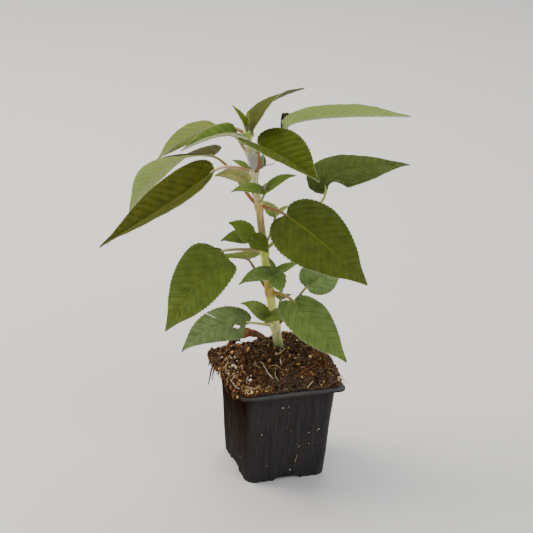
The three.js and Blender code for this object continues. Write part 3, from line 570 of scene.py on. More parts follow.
# Roots and straws that stand out: half thickness, tone from white 0 to dark orange 1, and places on the mound
ROOTS = [
    (0.36, 0, [(-17.3, -12.9), (-16.6, -20.3), (-15.8, -25.1), (-13.1, -28.8)]),
    (0.36, 0.05, [(-2.8, -13), (-3.4, -17), (-3.7, -20.4)]),
    (0.3, 0.45, [(-12.5, -19.5), (-8.2, -20.1), (-5.2, -22.7)]),
    (0.7, 0.25, [(-4.4, -8.3), (-1, -5), (1.5, -3.4)]),
    (0.35, 0.2, [(1.5, -3.4), (3.6, -1.2), (5.5, 0.7)]),
    (0.35, 0.25, [(10.2, -36.7), (12.9, -35.2), (15.9, -33.1)]),
    (0.3, 0.85, [(4, -29.6), (8.7, -27), (14.1, -26.4), (23.4, -21.7)]),
    (0.25, 0.85, [(8.7, -27), (11.8, -29), (15.2, -30.2)]),
    (0.35, 0.3, [(-29.4, -3.9), (-30.3, -11.6), (-30.7, -17.8)]),
    (0.3, 0.1, [(-31.7, -26), (-30, -22.7), (-28.5, -22.8)]),
    (0.3, 0.1, [(-40, -13), (-38.8, -19), (-39.6, -24), (-38, -28)]),
    (0.25, 0.2, [(-9, -30), (-10.5, -26), (-9.5, -22)]),
    (0.25, 0.5, [(2, -16), (4.5, -13), (4.2, -9)]),
    (0.25, 0.35, [(-20, -20), (-22, -14), (-20.5, -9)]),
]
# Threads that hang over the left side of the rim
THREADS = [
    [(-41, 22, 77), (-43, 24.5, 69), (-43, 28.5, 60), (-42.6, 34, 51)],
    [(-41, 20, 76), (-43, 20.5, 68), (-42.8, 22, 61)],
    [(-41, 30, 77), (-42.8, 31, 71), (-43, 34, 67)],
    [(-40.8, -8, 76), (-42.2, -10, 71), (-42, -15, 69)],
    [(-40.8, -20, 75), (-41.8, -24, 71.5), (-41.2, -29, 70.5)],
]


def surface(x, y):
    """Height of the mound's surface over places on it, and how near its edge they lie, 0 to 1."""
    far = np.hypot(*EDGE_RING[ORDER, :2].T)
    reach = np.interp(np.arctan2(y, x), EDGE_TURN[ORDER], far, period=2 * np.pi)
    ratio = np.minimum(1, np.hypot(x, y) / reach)
    return mound_top(x, y, ratio), ratio


def lumps(places, sizes, bumpy=0.45):
    """Many angular grains, each turned at random: their points, their faces and the points of one of them.

    Each has three half sizes."""
    ball = bmesh.new()
    bmesh.ops.create_icosphere(ball, subdivisions=2, radius=1)
    points = np.array([vertex.co[:] for vertex in ball.verts])
    faces = np.array([[vertex.index for vertex in face.verts] for face in ball.faces])
    ball.free()
    count = len(places)
    turns = np.linalg.qr(chance.normal(size=(count, 3, 3)))[0]
    turns = turns * np.sign(np.linalg.det(turns))[:, None, None]
    rough = 1 + bumpy * (chance.random((count, len(points), 1)) - 0.5)
    made = (points * rough * np.asarray(sizes)[:, None]) @ turns + np.asarray(places)[:, None]
    stack = faces[None] + len(points) * np.arange(count)[:, None, None]
    return made.reshape(-1, 3), stack.reshape(-1, 3).tolist(), len(points)


def tube_along(line, radius, sides=14, steps=36):
    """A round stalk along a line, pointed at its end, and each point's share along it.

    Its radius is a function of that share."""
    points, tangents = even(line, steps)
    side = np.array([0.3, 0.5, 0.8])
    turn = np.linspace(0, 2 * np.pi, sides, endpoint=False)
    rings = []
    for i, (point, tangent) in enumerate(zip(points, tangents)):
        side = unit(side - tangent * (side @ tangent))
        other = np.cross(tangent, side)
        r = radius(i / steps) * (1 + 0.05 * lattice(turn * 2, turn * 0 + i / 3))
        rings.append(point + np.outer(r * np.cos(turn), side) + np.outer(r * np.sin(turn), other))
    made, faces = closed_tube(rings, points[0], points[-1] + tangents[-1] * radius(1))
    share = np.concatenate([np.repeat(np.arange(steps + 1) / steps, sides), [0, 1]])
    return made, faces, np.column_stack([share, 0 * share, 0 * share])


def bezier(points, steps=60):
    """Points on a quadratic or cubic Bezier curve."""
    p = [np.asarray(q, float) for q in points]
    t = np.linspace(0, 1, steps)[:, None]
    while len(p) > 1:
        p = [a * (1 - t) + b * t for a, b in zip(p[:-1], p[1:])]
    return p[0]


def closed_sheet(tops, unders, rows, torn=None):
    """A thin closed body between two grids of points, each of so many rows. Torn cells are left open."""
    count = len(tops)
    index = np.arange(count).reshape(rows, -1)
    quads = np.stack([index[:-1, :-1], index[1:, :-1], index[1:, 1:], index[:-1, 1:]], -1).reshape(-1, 4)
    if torn is not None:
        quads = quads[~torn.ravel()]
    edges = np.concatenate([quads[:, [k, (k + 1) % 4]] for k in range(4)]).tolist()
    shared = {(b, a) for a, b in edges}
    first, last = np.array([edge for edge in edges if tuple(edge) not in shared]).T
    rim = np.stack([last, first, first + count, last + count], -1)
    points = np.concatenate([tops, unders])
    return points, outward(points, np.concatenate([quads, quads[:, ::-1] + count, rim]).tolist())


class Bodies:
    """Closed bodies gathered into one piece: points, faces, material numbers and point attributes."""

    def __init__(self, *labels):
        self.points, self.faces, self.slots, self.count = [], [], [], 0
        self.values = {label: [] for label in labels}

    def add(self, points, faces, slot, **values):
        self.faces += [[i + self.count for i in face] for face in faces]
        self.slots += [slot] * len(faces)
        self.points.append(points)
        for label, gathered in self.values.items():
            gathered.append(np.broadcast_to(values.get(label, 0), (len(points), 3)))
        self.count += len(points)

    def piece(self, name, materials):
        return make_piece(name, np.concatenate(self.points), self.faces, materials, self.slots,
                          {label: np.concatenate(gathered) for label, gathered in self.values.items()})


def toned_material(name, stops, scale, **constants):
    """A dull organic material whose colour follows each bit's own tone, mottled at a scale."""
    material, tree, shader = new_material(name, IOR=1.45, Specular_IOR_Level=0.15, **constants)
    tone = add(tree, "Attribute", {"attribute_name": "tone"}).outputs["Vector"]
    tone = add(tree, "SeparateXYZ", {}, {"Vector": tone}).outputs["X"]
    place = add(tree, "TexCoord").outputs["Object"]
    mottle = add(tree, "TexNoise", {"Scale": scale, "Detail": 4, "Roughness": 0.65}, {"Vector": place})
    spread = add(tree, "MapRange", {"To Min": -0.16, "To Max": 0.16}, {"Value": mottle})
    wander = add(tree, "Math", {"operation": "ADD"}, {0: tone, 1: spread})
    colour = add(tree, "ValToRGB", {"stops": stops}, {"Fac": wander})
    tree.links.new(colour.outputs[0], shader.inputs["Base Color"])
    crust = add(tree, "Bump", {"Strength": 0.7, "Distance": 0.4 * MM}, {"Height": mottle})
    tree.links.new(crust.outputs[0], shader.inputs["Normal"])
    return material


def toned(tones, each=1):
    """Tones as point attributes, each repeated over the points of its bit."""
    values = np.repeat(np.asarray(tones, float), each)
    return np.column_stack([values, 0 * values, 0 * values])


def one_tone(points, tone):
    """The same tone for all of some points."""
    return toned(np.full(len(points), tone))


def on_root(piece):
    """Loose bits ride on the root body and count as compost."""
    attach(piece, "root")


# Crumbs of peat and chips of bark, from near black to ochre: matt, with a crumb of their own
peat_crumb = toned_material("dried_peat_crumb", [
    (0.0, "#170f09"), (0.4, "#492f1e"), (0.62, "#865b31"), (0.8, "#c69d60"), (1.0, "#ead6a4"),
], 1.5 / MM, Roughness=0.9)
# Bark and root fibres: fibrous, dull, dark brown to straw
plant_fibre = toned_material("plant_fibre", [
    (0.0, "#150a05"), (0.35, "#3a1f0e"), (0.6, "#6c4421"), (0.8, "#92734a"), (1.0, "#b29d7a"),
], 0.9 / MM, Roughness=0.75)
# Living roots and straws: pale and a little waxy
young_root = toned_material("young_root", [
    (0.0, "#daceb5"), (0.3, "#c4a57f"), (0.5, "#af8e46"), (0.85, "#834817"),
], 0.7 / MM, Roughness=0.55)
# Expanded perlite and grit: chalky white grains with a rough crust, and a few ochre ones
perlite = toned_material("expanded_perlite", [
    (0.0, "#ece4d0"), (0.35, "#d9bc7c"), (0.7, "#c08432"), (1.0, "#96521c"),
], 1.1 / MM, Roughness=0.85)

# Crumbs all over the mound, small ones most, drier and paler towards the right
flat = chance.uniform(-42, 42, (CRUMBS * 2, 2))
height, ratio = surface(flat[:, 0], flat[:, 1])
keep = np.nonzero(ratio < 0.985)[0][:CRUMBS]
keep = keep[np.hypot(*(flat[keep] - BARE_AT).T) > CRUMBS_OFF]
flat, height, count = flat[keep], height[keep], len(keep)
half = 0.42 + 1.15 * chance.random(count) ** 3
sizes = np.column_stack([np.ones(count), chance.uniform(0.5, 1, count), chance.uniform(0.3, 0.8, count)])
dry = np.clip((flat[:, 0] + 5) / 45, 0, 1)
tones = np.clip(chance.beta(1.1, 1.9, count) + 0.14 * dry - 0.08, 0, 1)
crumbs = Bodies("tone")
points, faces, each = lumps(np.column_stack([flat, height + 0.25 * half]), half[:, None] * sizes)
crumbs.add(points, faces, 0, tone=toned(tones, each))
# Crumbs that hang over the rim on its left side, thickest at the back
low = chance.random(RIM_CRUMBS) ** 1.6
y = 38 - 74 * chance.random(RIM_CRUMBS) ** 1.3
x = -40.6 - chance.uniform(0, 1.4, RIM_CRUMBS) * (1 - 0.4 * low)
z = 77 - 7.5 * low * (0.5 + 0.5 * (y > 12))
half = chance.uniform(0.5, 1.5, RIM_CRUMBS)
sizes = half[:, None] * chance.uniform(0.5, 1, (RIM_CRUMBS, 3))
points, faces, each = lumps(np.column_stack([x, y, z]), sizes)
crumbs.add(points, faces, 0, tone=toned(chance.beta(1.5, 2.6, RIM_CRUMBS), each))
# Peat caught on the back foot of the bark arch
share = chance.uniform(0, 0.42, CAUGHT_CRUMBS)
arch, _ = curve_through(BARK_LINE, BARK_STEPS)
caught = np.stack([np.interp(share, np.linspace(0, 1, len(arch)), arch[:, k]) for k in range(3)], 1)
caught = caught + chance.normal(0, 1, (CAUGHT_CRUMBS, 3)) * (1.4, 1.4, 1.2) + (0, 0, -0.8)
half = chance.uniform(0.7, 1.7, CAUGHT_CRUMBS)
points, faces, each = lumps(caught, half[:, None] * chance.uniform(0.45, 1, (CAUGHT_CRUMBS, 3)))
crumbs.add(points, faces, 0, tone=toned(chance.beta(1.5, 3, CAUGHT_CRUMBS), each))
# A dark curled flake of bark lies at the back left, its hollow side to the left
bend = np.radians(np.linspace(-125, 125, 22))
along, turn = np.meshgrid(np.linspace(0, 1, 15), bend, indexing="ij")
axis = np.array([-42.3, 34, 76.6]) + along.ravel()[:, None] * (5.5, -12, 2.0)
wide = (2.9 - 0.9 * along + 0.5 * lattice(along * 5, turn * 2)).ravel()
out = np.column_stack([np.sin(turn.ravel()) * 0.55, np.sin(turn.ravel()) * 0.25, np.cos(turn.ravel())])
skins = [axis + out * (wide + grow)[:, None] for grow in (0.35, -0.35)]
points, faces = closed_sheet(skins[0], skins[1], 15)
crumbs.add(points, faces, 0, tone=toned(np.tile(0.12 + 0.5 * np.abs(turn.ravel() / 2.2) ** 4, 2)))
peat_crumbs = crumbs.piece("peat_crumbs", [peat_crumb])
on_root(peat_crumbs)

# Fibres lie on the mound, bent in its plane and lifted a little in the middle
fibres = Bodies("tone")
s = np.linspace(0, 1, 9)
for k in range(FIBRES):
    radius, length = 0.07 + 0.16 * chance.random() ** 2, 4 + 13 * chance.random() ** 2
    start, heading, bend = chance.uniform(-38, 38, 2), chance.uniform(0, 2 * math.pi), chance.normal(0, 1.6)
    way = heading + bend * s
    x = start[0] + length * np.cumsum(np.cos(way)) / 9
    y = start[1] + length * np.cumsum(np.sin(way)) / 9
    z, ratio = surface(x, y)
    if ratio.max() > 0.99 or np.hypot(x - BARE_AT[0], y - BARE_AT[1]).min() < FIBRES_OFF:
        continue
    z = np.convolve(np.pad(z, 1, "edge"), [0.3, 0.4, 0.3], "valid") + 0.5
    z = z + chance.uniform(0.1, 1.3) * np.sin(np.pi * s)
    made, faces, _ = tube_along(np.column_stack([x, y, z]), lambda u: radius * (1 - 0.4 * u), 5, 9)
    fibres.add(made, faces, 0, tone=one_tone(made, chance.beta(1.7, 1.5)))
# Others hang over the rim: most on its left, longest at the back, and every fourth one on its right
for k in range(HANGING_FIBRES):
    y = 38 - 74 * chance.random()
    side = 1 if k % 4 == 0 else -1
    drop = chance.uniform(2, 6) * (1.5 if y > 15 else 1) * (1 if side < 0 else 0.5)
    drift = chance.normal(0, 2.5)
    line = bezier([(side * 39, y, 77.5), (side * 42.6, y, 77), (side * 42.8, y + drift, 76 - drop)], 12)
    radius = chance.uniform(0.12, 0.3)
    made, faces, _ = tube_along(line, lambda u: radius * (1 - 0.5 * u), 5, 8)
    fibres.add(made, faces, 0, tone=one_tone(made, chance.beta(2, 2.4)))
for line in THREADS:
    made, faces, _ = tube_along(curve_through(line, 20)[0], lambda u: 0.85 * (1 - 0.6 * u), 6, 20)
    fibres.add(made, faces, 0, tone=one_tone(made, 0.52))
compost_fibres = fibres.piece("compost_fibres", [plant_fibre])
on_root(compost_fibres)

roots = Bodies("tone")
for radius, tone, places in ROOTS:
    x, y = np.array(places, float).T
    z, _ = surface(x, y)
    line, _ = curve_through(np.column_stack([x, y, z + 0.9]), 24)
    made, faces, _ = tube_along(line, lambda u: radius * (0.7 + 0.3 * math.sin(math.pi * u)), 8, 24)
    roots.add(made, faces, 0, tone=one_tone(made, tone))
# Short pale straws lie heaped along the left side, and every third one round the near corner
s = np.linspace(-0.5, 0.5, 5)
for k in range(STRAWS):
    if k % 3:
        x, y = -40 + 9 * chance.random() ** 1.5, 16 - 53 * chance.random()
    else:
        x, y = -38 + 24 * chance.random(), -37.4 + 4 * chance.random()
    heading, length = chance.uniform(0, math.pi), chance.uniform(1.6, 5)
    x = x + length * s * math.cos(heading)
    y = y + length * s * math.sin(heading) + length * chance.normal(0, 0.5) * s ** 2
    z, ratio = surface(x, y)
    if ratio.max() > 0.998:
        continue
    z = z + (0.5 + chance.uniform(0, 0.9) + chance.normal(0, 0.8) * s)
    made, faces, _ = tube_along(np.column_stack([x, y, z]), lambda u: chance.uniform(0.14, 0.3), 5, 5)
    roots.add(made, faces, 0, tone=one_tone(made, 0.12 + chance.beta(1.4, 2) * 0.75))
fine_roots = roots.piece("fine_roots", [young_root])
on_root(fine_roots)

# Small grains are whiter and a little bigger on the left, and a quarter of the others is left out
small = np.column_stack([chance.uniform(-40, 38, GRITS), chance.uniform(-38, 38, GRITS)])
white = small[:, 0] < -27
small_grains = np.column_stack([small, np.where(white, 0.22, 0.14) + 0.25 * chance.random(GRITS) ** 2,
                                np.where(white, 0.05, 0.35) + 0.3 * chance.random(GRITS)])
grains = np.concatenate([GRAINS, small_grains[white | (chance.random(GRITS) < 0.75)]])
z, ratio = surface(grains[:, 0], grains[:, 1])
grains, z = grains[ratio < 0.995], z[ratio < 0.995]
points, faces, each = lumps(np.column_stack([grains[:, :2], z + 0.75 * grains[:, 2] + 0.35]),
                            grains[:, 2:3] * chance.uniform(0.35, 1.25, (len(grains), 3)), bumpy=0.7)
bits = Bodies("tone")
bits.add(points, faces, 0, tone=toned(grains[:, 3], each))
perlite_grains = bits.piece("perlite_grains", [perlite])
on_root(perlite_grains)

# Specks of perlite and dried mud on the pot's front wall: distance along it, height, half size and tone
SPECKS = [
    (-6.6, 62.1, 0.75, 0), (-2.1, 62.4, 0.4, 0), (-21.3, 41.4, 0.45, 0.05), (14.8, 38.4, 0.5, 0),
    (22.4, 40.3, 0.6, 0.2), (21.2, 39.6, 0.35, 0.2), (7.1, 27, 0.4, 0.1), (8.4, 27.6, 0.3, 0.1),
    (2.2, 7.8, 0.6, 0), (-15.9, 14, 0.35, 0.1), (-18.8, 58.5, 0.3, 0.3), (-1.4, 57, 0.25, 0.2),
    (15.6, 28.8, 0.35, 0.1), (6.2, 29.7, 0.25, 0.1), (-14, 50, 0.2, 0.2),
]
FRONT = 3
specks = [(FRONT, x, z, r, tone) for x, z, r, tone in SPECKS]
for side in range(4):
    spans = ((-27, 27), (4, 68), (0.12, 0.3))
    for x, z, r in np.column_stack([chance.uniform(*span, SPECKS_A_WALL) for span in spans]):
        specks.append((side, x, z, r, 0.1))
places, sizes = [], []
for side, x, z, r, _ in specks:
    out = wall_half(z) - flutes(side, (x / 27 + 1) / 2) + 0.05
    places.append(Matrix.Rotation(side * math.pi / 2, 3, "Z") @ Vector((out, x, z)))
    sizes.append((r, 0.7 * r, 0.5 * r))
points, faces, each = lumps(np.array(places), np.array(sizes), bumpy=0.6)
dust = Bodies("tone")
dust.add(points, faces, 0, tone=toned([speck[4] for speck in specks], each))
# One dry splinter sticks to the front wall
splinter = np.array([(6.8, -32.1, 20.1), (6.1, -31.9, 17.2), (5.6, -31.7, 14.2)])
made, faces, _ = tube_along(splinter, lambda u: 0.16, 5, 6)
dust.add(made, faces, 0, tone=one_tone(made, 0.5))
pot_specks = dust.piece("pot_specks", [perlite])
on_root(pot_specks)


# Stem

# One square herbaceous stem with rounded ridges, swollen where the leaves sit. It is pale green, stained
# brown at the nodes, and downy with short white hairs.
STEM_LINE = [
    (6, 4, 66), (3, 5, 88), (-1, 6, 108), (-4, 6.5, 124), (-6, 6.5, 135.5), (-9.5, 7.5, 156),
    (-11, 8, 167.5), (-14, 8, 187), (-16, 8.5, 202), (-19, 9.5, 218), (-19.7, 10, 227.5),
    (-22.4, 11, 240), (-25.5, 12, 256.5),
]
NODE_HEIGHTS = [108, 135.5, 167.5, 202, 227.5, 240, 254.5]
STEM_HALF_FOOT, STEM_HALF_TOP, STEM_TAPER = 3.7, 2.2, 1.3
NODE_SWELL, NODE_REACH = 0.9, 3
# Its form round its axis, as parts of its half width, and its turn in radians
STEM_SQUARENESS, FACE_GROOVE, STEM_UNEVEN, STEM_TWIST = 0.13, 0.02, 0.03, 0.5
STEM_STATIONS, STEM_SIDES = 260, 40
# Its down: how many hairs, their radius and their shortest and longest, and where the tuft lies
STEM_HAIRS, STEM_HAIR, STEM_HAIR_LENGTHS = 3600, 0.045, (0.35, 0.8)
TUFT_HAIRS, TUFT_HAIR, TUFT_HAIR_LENGTHS = 2400, 0.11, (1, 3.2)
TUFT_HEIGHT, TUFT_SPREAD = 236.5, 4.2


def stem_half(z):
    """Half the stem's width at a height, swollen at the nodes."""
    share = np.clip((z - STEM_LINE[0][2]) / (STEM_LINE[-1][2] - STEM_LINE[0][2]), 0, 1)
    swell = sum(np.exp(-((z - node) / NODE_REACH) ** 2) for node in NODE_HEIGHTS)
    return STEM_HALF_FOOT + (STEM_HALF_TOP - STEM_HALF_FOOT) * share ** STEM_TAPER + NODE_SWELL * swell


def stem_reach(z, turn):
    """The stem's radius at a height and an angle round it: square, with a shallow groove in each face."""
    grooved = 1 + STEM_SQUARENESS * np.cos(4 * turn) - FACE_GROOVE * np.cos(8 * turn)
    return stem_half(z) * grooved * (1 + STEM_UNEVEN * lattice(turn * 3 + 9, z / 4))


stem_points, _ = curve_through(STEM_LINE, 600)


def stem_at(z):
    """The middle of the stem at a height."""
    return np.array([np.interp(z, stem_points[:, 2], stem_points[:, k]) for k in range(3)])


# Fresh herbaceous stem: waxy, slightly glossy under its down. The colours go up from the foot, each with its
# height. IOR of plant tissue. The sheen is the down seen at a glance.
# Painted light: from 106 to 130 mm the pale yellow is pushed near full brightness where leaves shade the
# stem; from 231 to 240 mm the near white is partly the tuft's white down and partly painted light for the
# backlit tuft.
STEM_COLOURS = [
    (78, "#3e4606"), (88, "#546313"), (97, "#92a347"), (106, "#e4e397"), (113, "#f7fa86"), (130, "#fafa67"),
    (134, "#cb9b1a"), (139, "#bd9d18"), (150, "#cfcd37"), (164, "#dbf047"), (167.5, "#e1db47"),
    (175, "#a69532"), (190, "#9b852c"), (199, "#c9aa46"), (203, "#c79b46"), (209, "#d7c887"),
    (226, "#e1e19e"), (231, "#eeeed8"), (240, "#fafaf4"), (242, "#e7e680"), (256, "#a9c41f"),
]
PALE_FIBRE, DULL_FIBRE, FRECKLE = "#dfe3c4", "#7c7c38", "#8a6436"
herb_stem, tree, shader = new_material(
    "downy_green_stem", IOR=1.45, Roughness=0.55, Subsurface_Weight=0.08, Subsurface_Scale=1 * MM,
    Sheen_Weight=0.25, Sheen_Roughness=0.4, Sheen_Tint=linear("#eef2e4"))
shader.inputs["Subsurface Radius"].default_value = (0.8, 1.0, 0.3)
place = add(tree, "TexCoord").outputs["Object"]
split = add(tree, "SeparateXYZ", {}, {"Vector": place})
low, high = STEM_COLOURS[0][0], STEM_COLOURS[-1][0]
height = add(tree, "MapRange", {"From Min": low * MM, "From Max": high * MM}, {"Value": split.outputs["Z"]})
grain = add(tree, "Mapping", {"Scale": (0.7 / MM, 0.7 / MM, 0.06 / MM)}, {"Vector": place})
fibre = add(tree, "TexNoise", {"Scale": 1, "Detail": 4}, {"Vector": grain})
blotch = add(tree, "TexNoise", {"Scale": 0.14 / MM, "Detail": 3}, {"Vector": place})
shifted = add(tree, "MapRange", {"To Min": -0.012, "To Max": 0.012}, {"Value": blotch})
height = add(tree, "Math", {"operation": "ADD"}, {0: height, 1: shifted})
colours = add(tree, "ValToRGB", {"stops": [((z - low) / (high - low), code) for z, code in STEM_COLOURS]},
              {"Fac": height})
faint = add(tree, "MapRange", {"From Min": 0.35, "From Max": 0.7, "To Max": 0.3}, {"Value": fibre})
colours = add(tree, "Mix", {"data_type": "RGBA", 7: linear(PALE_FIBRE)}, {"Factor": faint, 6: colours})
dull = add(tree, "MapRange", {"From Min": 0.5, "From Max": 0.34, "To Max": 0.6}, {"Value": fibre})
colours = add(tree, "Mix", {"data_type": "RGBA", 7: linear(DULL_FIBRE)},
              {"Factor": dull, 6: colours.outputs[2]})
freckled = add(tree, "MapRange", {"From Min": 0.62, "From Max": 0.72, "To Max": 0.55}, {"Value": blotch})
colours = add(tree, "Mix", {"data_type": "RGBA", 7: linear(FRECKLE)},
              {"Factor": freckled, 6: colours.outputs[2]})
tree.links.new(colours.outputs[2], shader.inputs["Base Color"])
fibrous = add(tree, "Bump", {"Strength": 0.4, "Distance": 0.3 * MM}, {"Height": fibre})
tree.links.new(fibrous.outputs[0], shader.inputs["Normal"])

line, _ = curve_through(STEM_LINE, STEM_STATIONS)
turn = np.linspace(0, 2 * np.pi, STEM_SIDES, endpoint=False)
rings = []
for centre in line:
    reach, way = stem_reach(centre[2], turn), turn + STEM_TWIST
    rings.append(centre + np.stack([reach * np.cos(way), reach * np.sin(way), 0 * turn], 1))
points, faces = closed_tube(rings, line[0], line[-1])
main_stem = make_piece("main_stem", points, faces, [herb_stem])
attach(main_stem, "root")
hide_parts("stem")


def hairs(bodies, roots, outs, lengths, radius, slot, spread=0.25):
    """Adds short hairs, each a thin closed cone that stands on its root and leans a little at random."""
    outs = unit(outs + chance.normal(0, spread, outs.shape))
    side = unit(np.cross(outs, chance.normal(size=outs.shape)))
    other = np.cross(outs, side)
    radius = np.broadcast_to(radius, len(roots))[:, None]
    thirds = (0, 2 * math.pi / 3, 4 * math.pi / 3)
    rings = [roots + radius * (math.cos(turn) * side + math.sin(turn) * other) for turn in thirds]
    tips = roots + outs * np.broadcast_to(lengths, len(roots))[:, None]
    points = np.stack([*rings, tips], 1).reshape(-1, 3)
    cone = np.array([(0, 1, 3), (1, 2, 3), (2, 0, 3), (0, 2, 1)])
    faces = (cone[None] + 4 * np.arange(len(roots))[:, None, None]).reshape(-1, 3)
    bodies.add(points, faces.tolist(), slot)


# Plant hair: colourless cell walls full of air look white and a little silky
plant_hair, tree, shader = new_material(
    "white_plant_hair", IOR=1.5, Specular_IOR_Level=0.3, Roughness=0.6, Sheen_Weight=0.5, Sheen_Roughness=0.5)
place = add(tree, "TexCoord").outputs["Object"]
strand = add(tree, "TexNoise", {"Scale": 0.3 / MM}, {"Vector": place})
white = add(tree, "ValToRGB", {"stops": [(0.3, "#faf6e6"), (0.6, "#fffdf5")]}, {"Fac": strand})
tree.links.new(white.outputs[0], shader.inputs["Base Color"])

down = Bodies()
# All over the stem, longest at the nodes, and a dense silky tuft round the buds under the crown
z = chance.uniform(82, 256, STEM_HAIRS)
turn = chance.uniform(0, 2 * math.pi, STEM_HAIRS)
near_node = np.exp(-(np.abs(z[:, None] - NODE_HEIGHTS).min(1) / 3.5) ** 2)
z = np.concatenate([z, chance.normal(TUFT_HEIGHT, TUFT_SPREAD, TUFT_HAIRS)])
turn = np.concatenate([turn, chance.uniform(0, 2 * math.pi, TUFT_HAIRS)])
length = chance.uniform(*STEM_HAIR_LENGTHS, STEM_HAIRS) * (1 + 1.1 * near_node)
length = np.concatenate([length, chance.uniform(*TUFT_HAIR_LENGTHS, TUFT_HAIRS)])
outs = np.column_stack([np.cos(turn + STEM_TWIST), np.sin(turn + STEM_TWIST), 0 * turn])
roots_at = stem_at(z).T + outs * (stem_reach(z, turn) - 0.15)[:, None]
in_tuft = np.arange(len(z)) >= STEM_HAIRS
rising = np.column_stack([0 * z, 0 * z, np.where(in_tuft, 0.8, 0.1)])
hairs(down, roots_at, outs + rising, length, np.where(in_tuft, TUFT_HAIR, STEM_HAIR), 0, 0.45)
stem_down = down.piece("stem_down", [plant_hair])
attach(stem_down, "root")


# Leaves

# Seven pairs of soft oval leaves with finely toothed margins, each on its own stalk. The side veins are
# sunk in the upper side and stand out below, and short down makes the margins and the young leaves pale; the
# margins' pale line is also lightened as a painted rim light.
# The curl is in degrees at the margin. A blade narrower than the full width has all its relief finer.
BLADE_THICKNESS, KEEL, CURL, FULL_WIDTH = 0.6, 0.9, -16, 18
TOOTH_PITCH, TOOTH_DEPTH, TOOTH_LEAN = 2.6, 0.75, 1.35
ROWS_PER_TOOTH, COLUMN_WIDTH = 4, 1
VEIN_SPACING, VEIN_SLANT, VEIN_ARCH = 6.5, 0.62, 0.012
# Between the veins the blade puffs up. Heights and depths, and the half widths of the grooves and ridges:
PUFF, GROOVE, GROOVE_HALF = 0.26, 0.3, 0.6
RIB_GROOVE, RIB_GROOVE_HALF, VEIN_RIDGE, VEIN_RIDGE_HALF = 0.4, 0.8, 0.3, 0.45
# Height and length of the wave in the whole blade, and of the ripple along its margin
WAVE, WAVE_REACH, RIPPLE, RIPPLE_REACH = 0.9, 11, 0.5, 4
STALK_RADIUS, STALK_BEND, STALK_SIDES = 1.15, 0.3, 14
FRINGE_SPACING, DOWN_SHARE, STALK_HAIRS, LEAF_HAIR = 0.28, 0.07, 160, 0.035
# The blade's outline: share of its length and of its half width. It reaches back a little beside the stalk.
OUTLINE = [
    (0, 0.05), (-0.045, 0.34), (0, 0.66), (0.12, 0.91), (0.28, 1),
    (0.48, 0.89), (0.68, 0.6), (0.85, 0.25), (1, 0.02),
]


def blade_margin(leaf, length, rows, lobe):
    """One side's margin as evenly spaced points (along, across), with its outward directions.

    The lobe is how far it reaches back beside the stalk, as a part of the length."""
    p = np.array([((x - (lobe * (1 - x) ** 8 if i else 0)) * length, y * leaf["width"] / 2)
                  for i, (x, y) in enumerate(OUTLINE)])
    samples = []
    for i in range(len(p) - 1):
        before, after = p[max(0, i - 1)], p[min(len(p) - 1, i + 2)]
        start, end = (p[i + 1] - before) / 2, (after - p[i]) / 2
        samples.append(cubic(p[i], p[i + 1], start, end, i == len(p) - 2))
    margin, tangents = even(np.concatenate(samples), rows)
    return margin, np.stack([-tangents[:, 1], tangents[:, 0]], 1)


class Blade:
    """Places the points of a flat blade in space along its midrib, as the solid does."""

    def __init__(self, leaf):
        self.leaf = leaf
        base, mid, tip = (np.array(leaf[key], float) for key in ("base", "mid", "tip"))
        pull = 2 * mid - base / 2 - tip / 2
        t = np.linspace(0, 1, 400)[:, None]
        samples = (1 - t) ** 2 * base + 2 * t * (1 - t) * pull + t * t * tip
        along = np.concatenate([[0], np.cumsum(np.linalg.norm(np.diff(samples, axis=0), axis=1))])
        self.length = along[-1]
        self.base, self.tip, self.pull = base, tip, pull
        self.t_at = lambda u: np.interp(u * self.length, along, t[:, 0])
        heading = (tip - base) * (1, 1, 0)
        heading = heading / np.linalg.norm(heading)
        self.level = np.array([-heading[1], heading[0], 0])

    def midrib(self, share):
        """Point and tangent of the midrib at shares of its length."""
        u = np.clip(share, 0, 1)
        t = self.t_at(u)[:, None]
        point = (1 - t) ** 2 * self.base + 2 * t * (1 - t) * self.pull + t * t * self.tip
        tangent = unit(2 * (1 - t) * (self.pull - self.base) + 2 * t * (self.tip - self.pull))
        return point + tangent * ((share - u) * self.length)[:, None], tangent

    def place(self, along, across, offset):
        """Points in space. Across is positive on the left of the heading, and offset is over the blade."""
        share = along / self.length
        point, tangent = self.midrib(share)
        side = unit(self.level - tangent * (tangent @ self.level)[:, None])
        first, last = self.leaf["roll"]
        bend = np.radians(first + (last - first) * np.clip(share, 0, 1))[:, None]
        side = side * np.cos(bend) + np.cross(tangent, side) * np.sin(bend)
        normal = np.cross(tangent, side)
        sign, reach = np.where(across < 0, -1, 1), np.abs(across)
        fold = math.radians(self.leaf["fold"])
        turn = math.radians(CURL) * reach / (self.leaf["width"] / 2)
        flat, lean = fold + turn / 2, fold + turn
        return (point + side * (sign * (reach * np.cos(flat) - offset * np.sin(lean)))[:, None]
                + normal * (reach * np.sin(flat) + offset * np.cos(lean))[:, None])


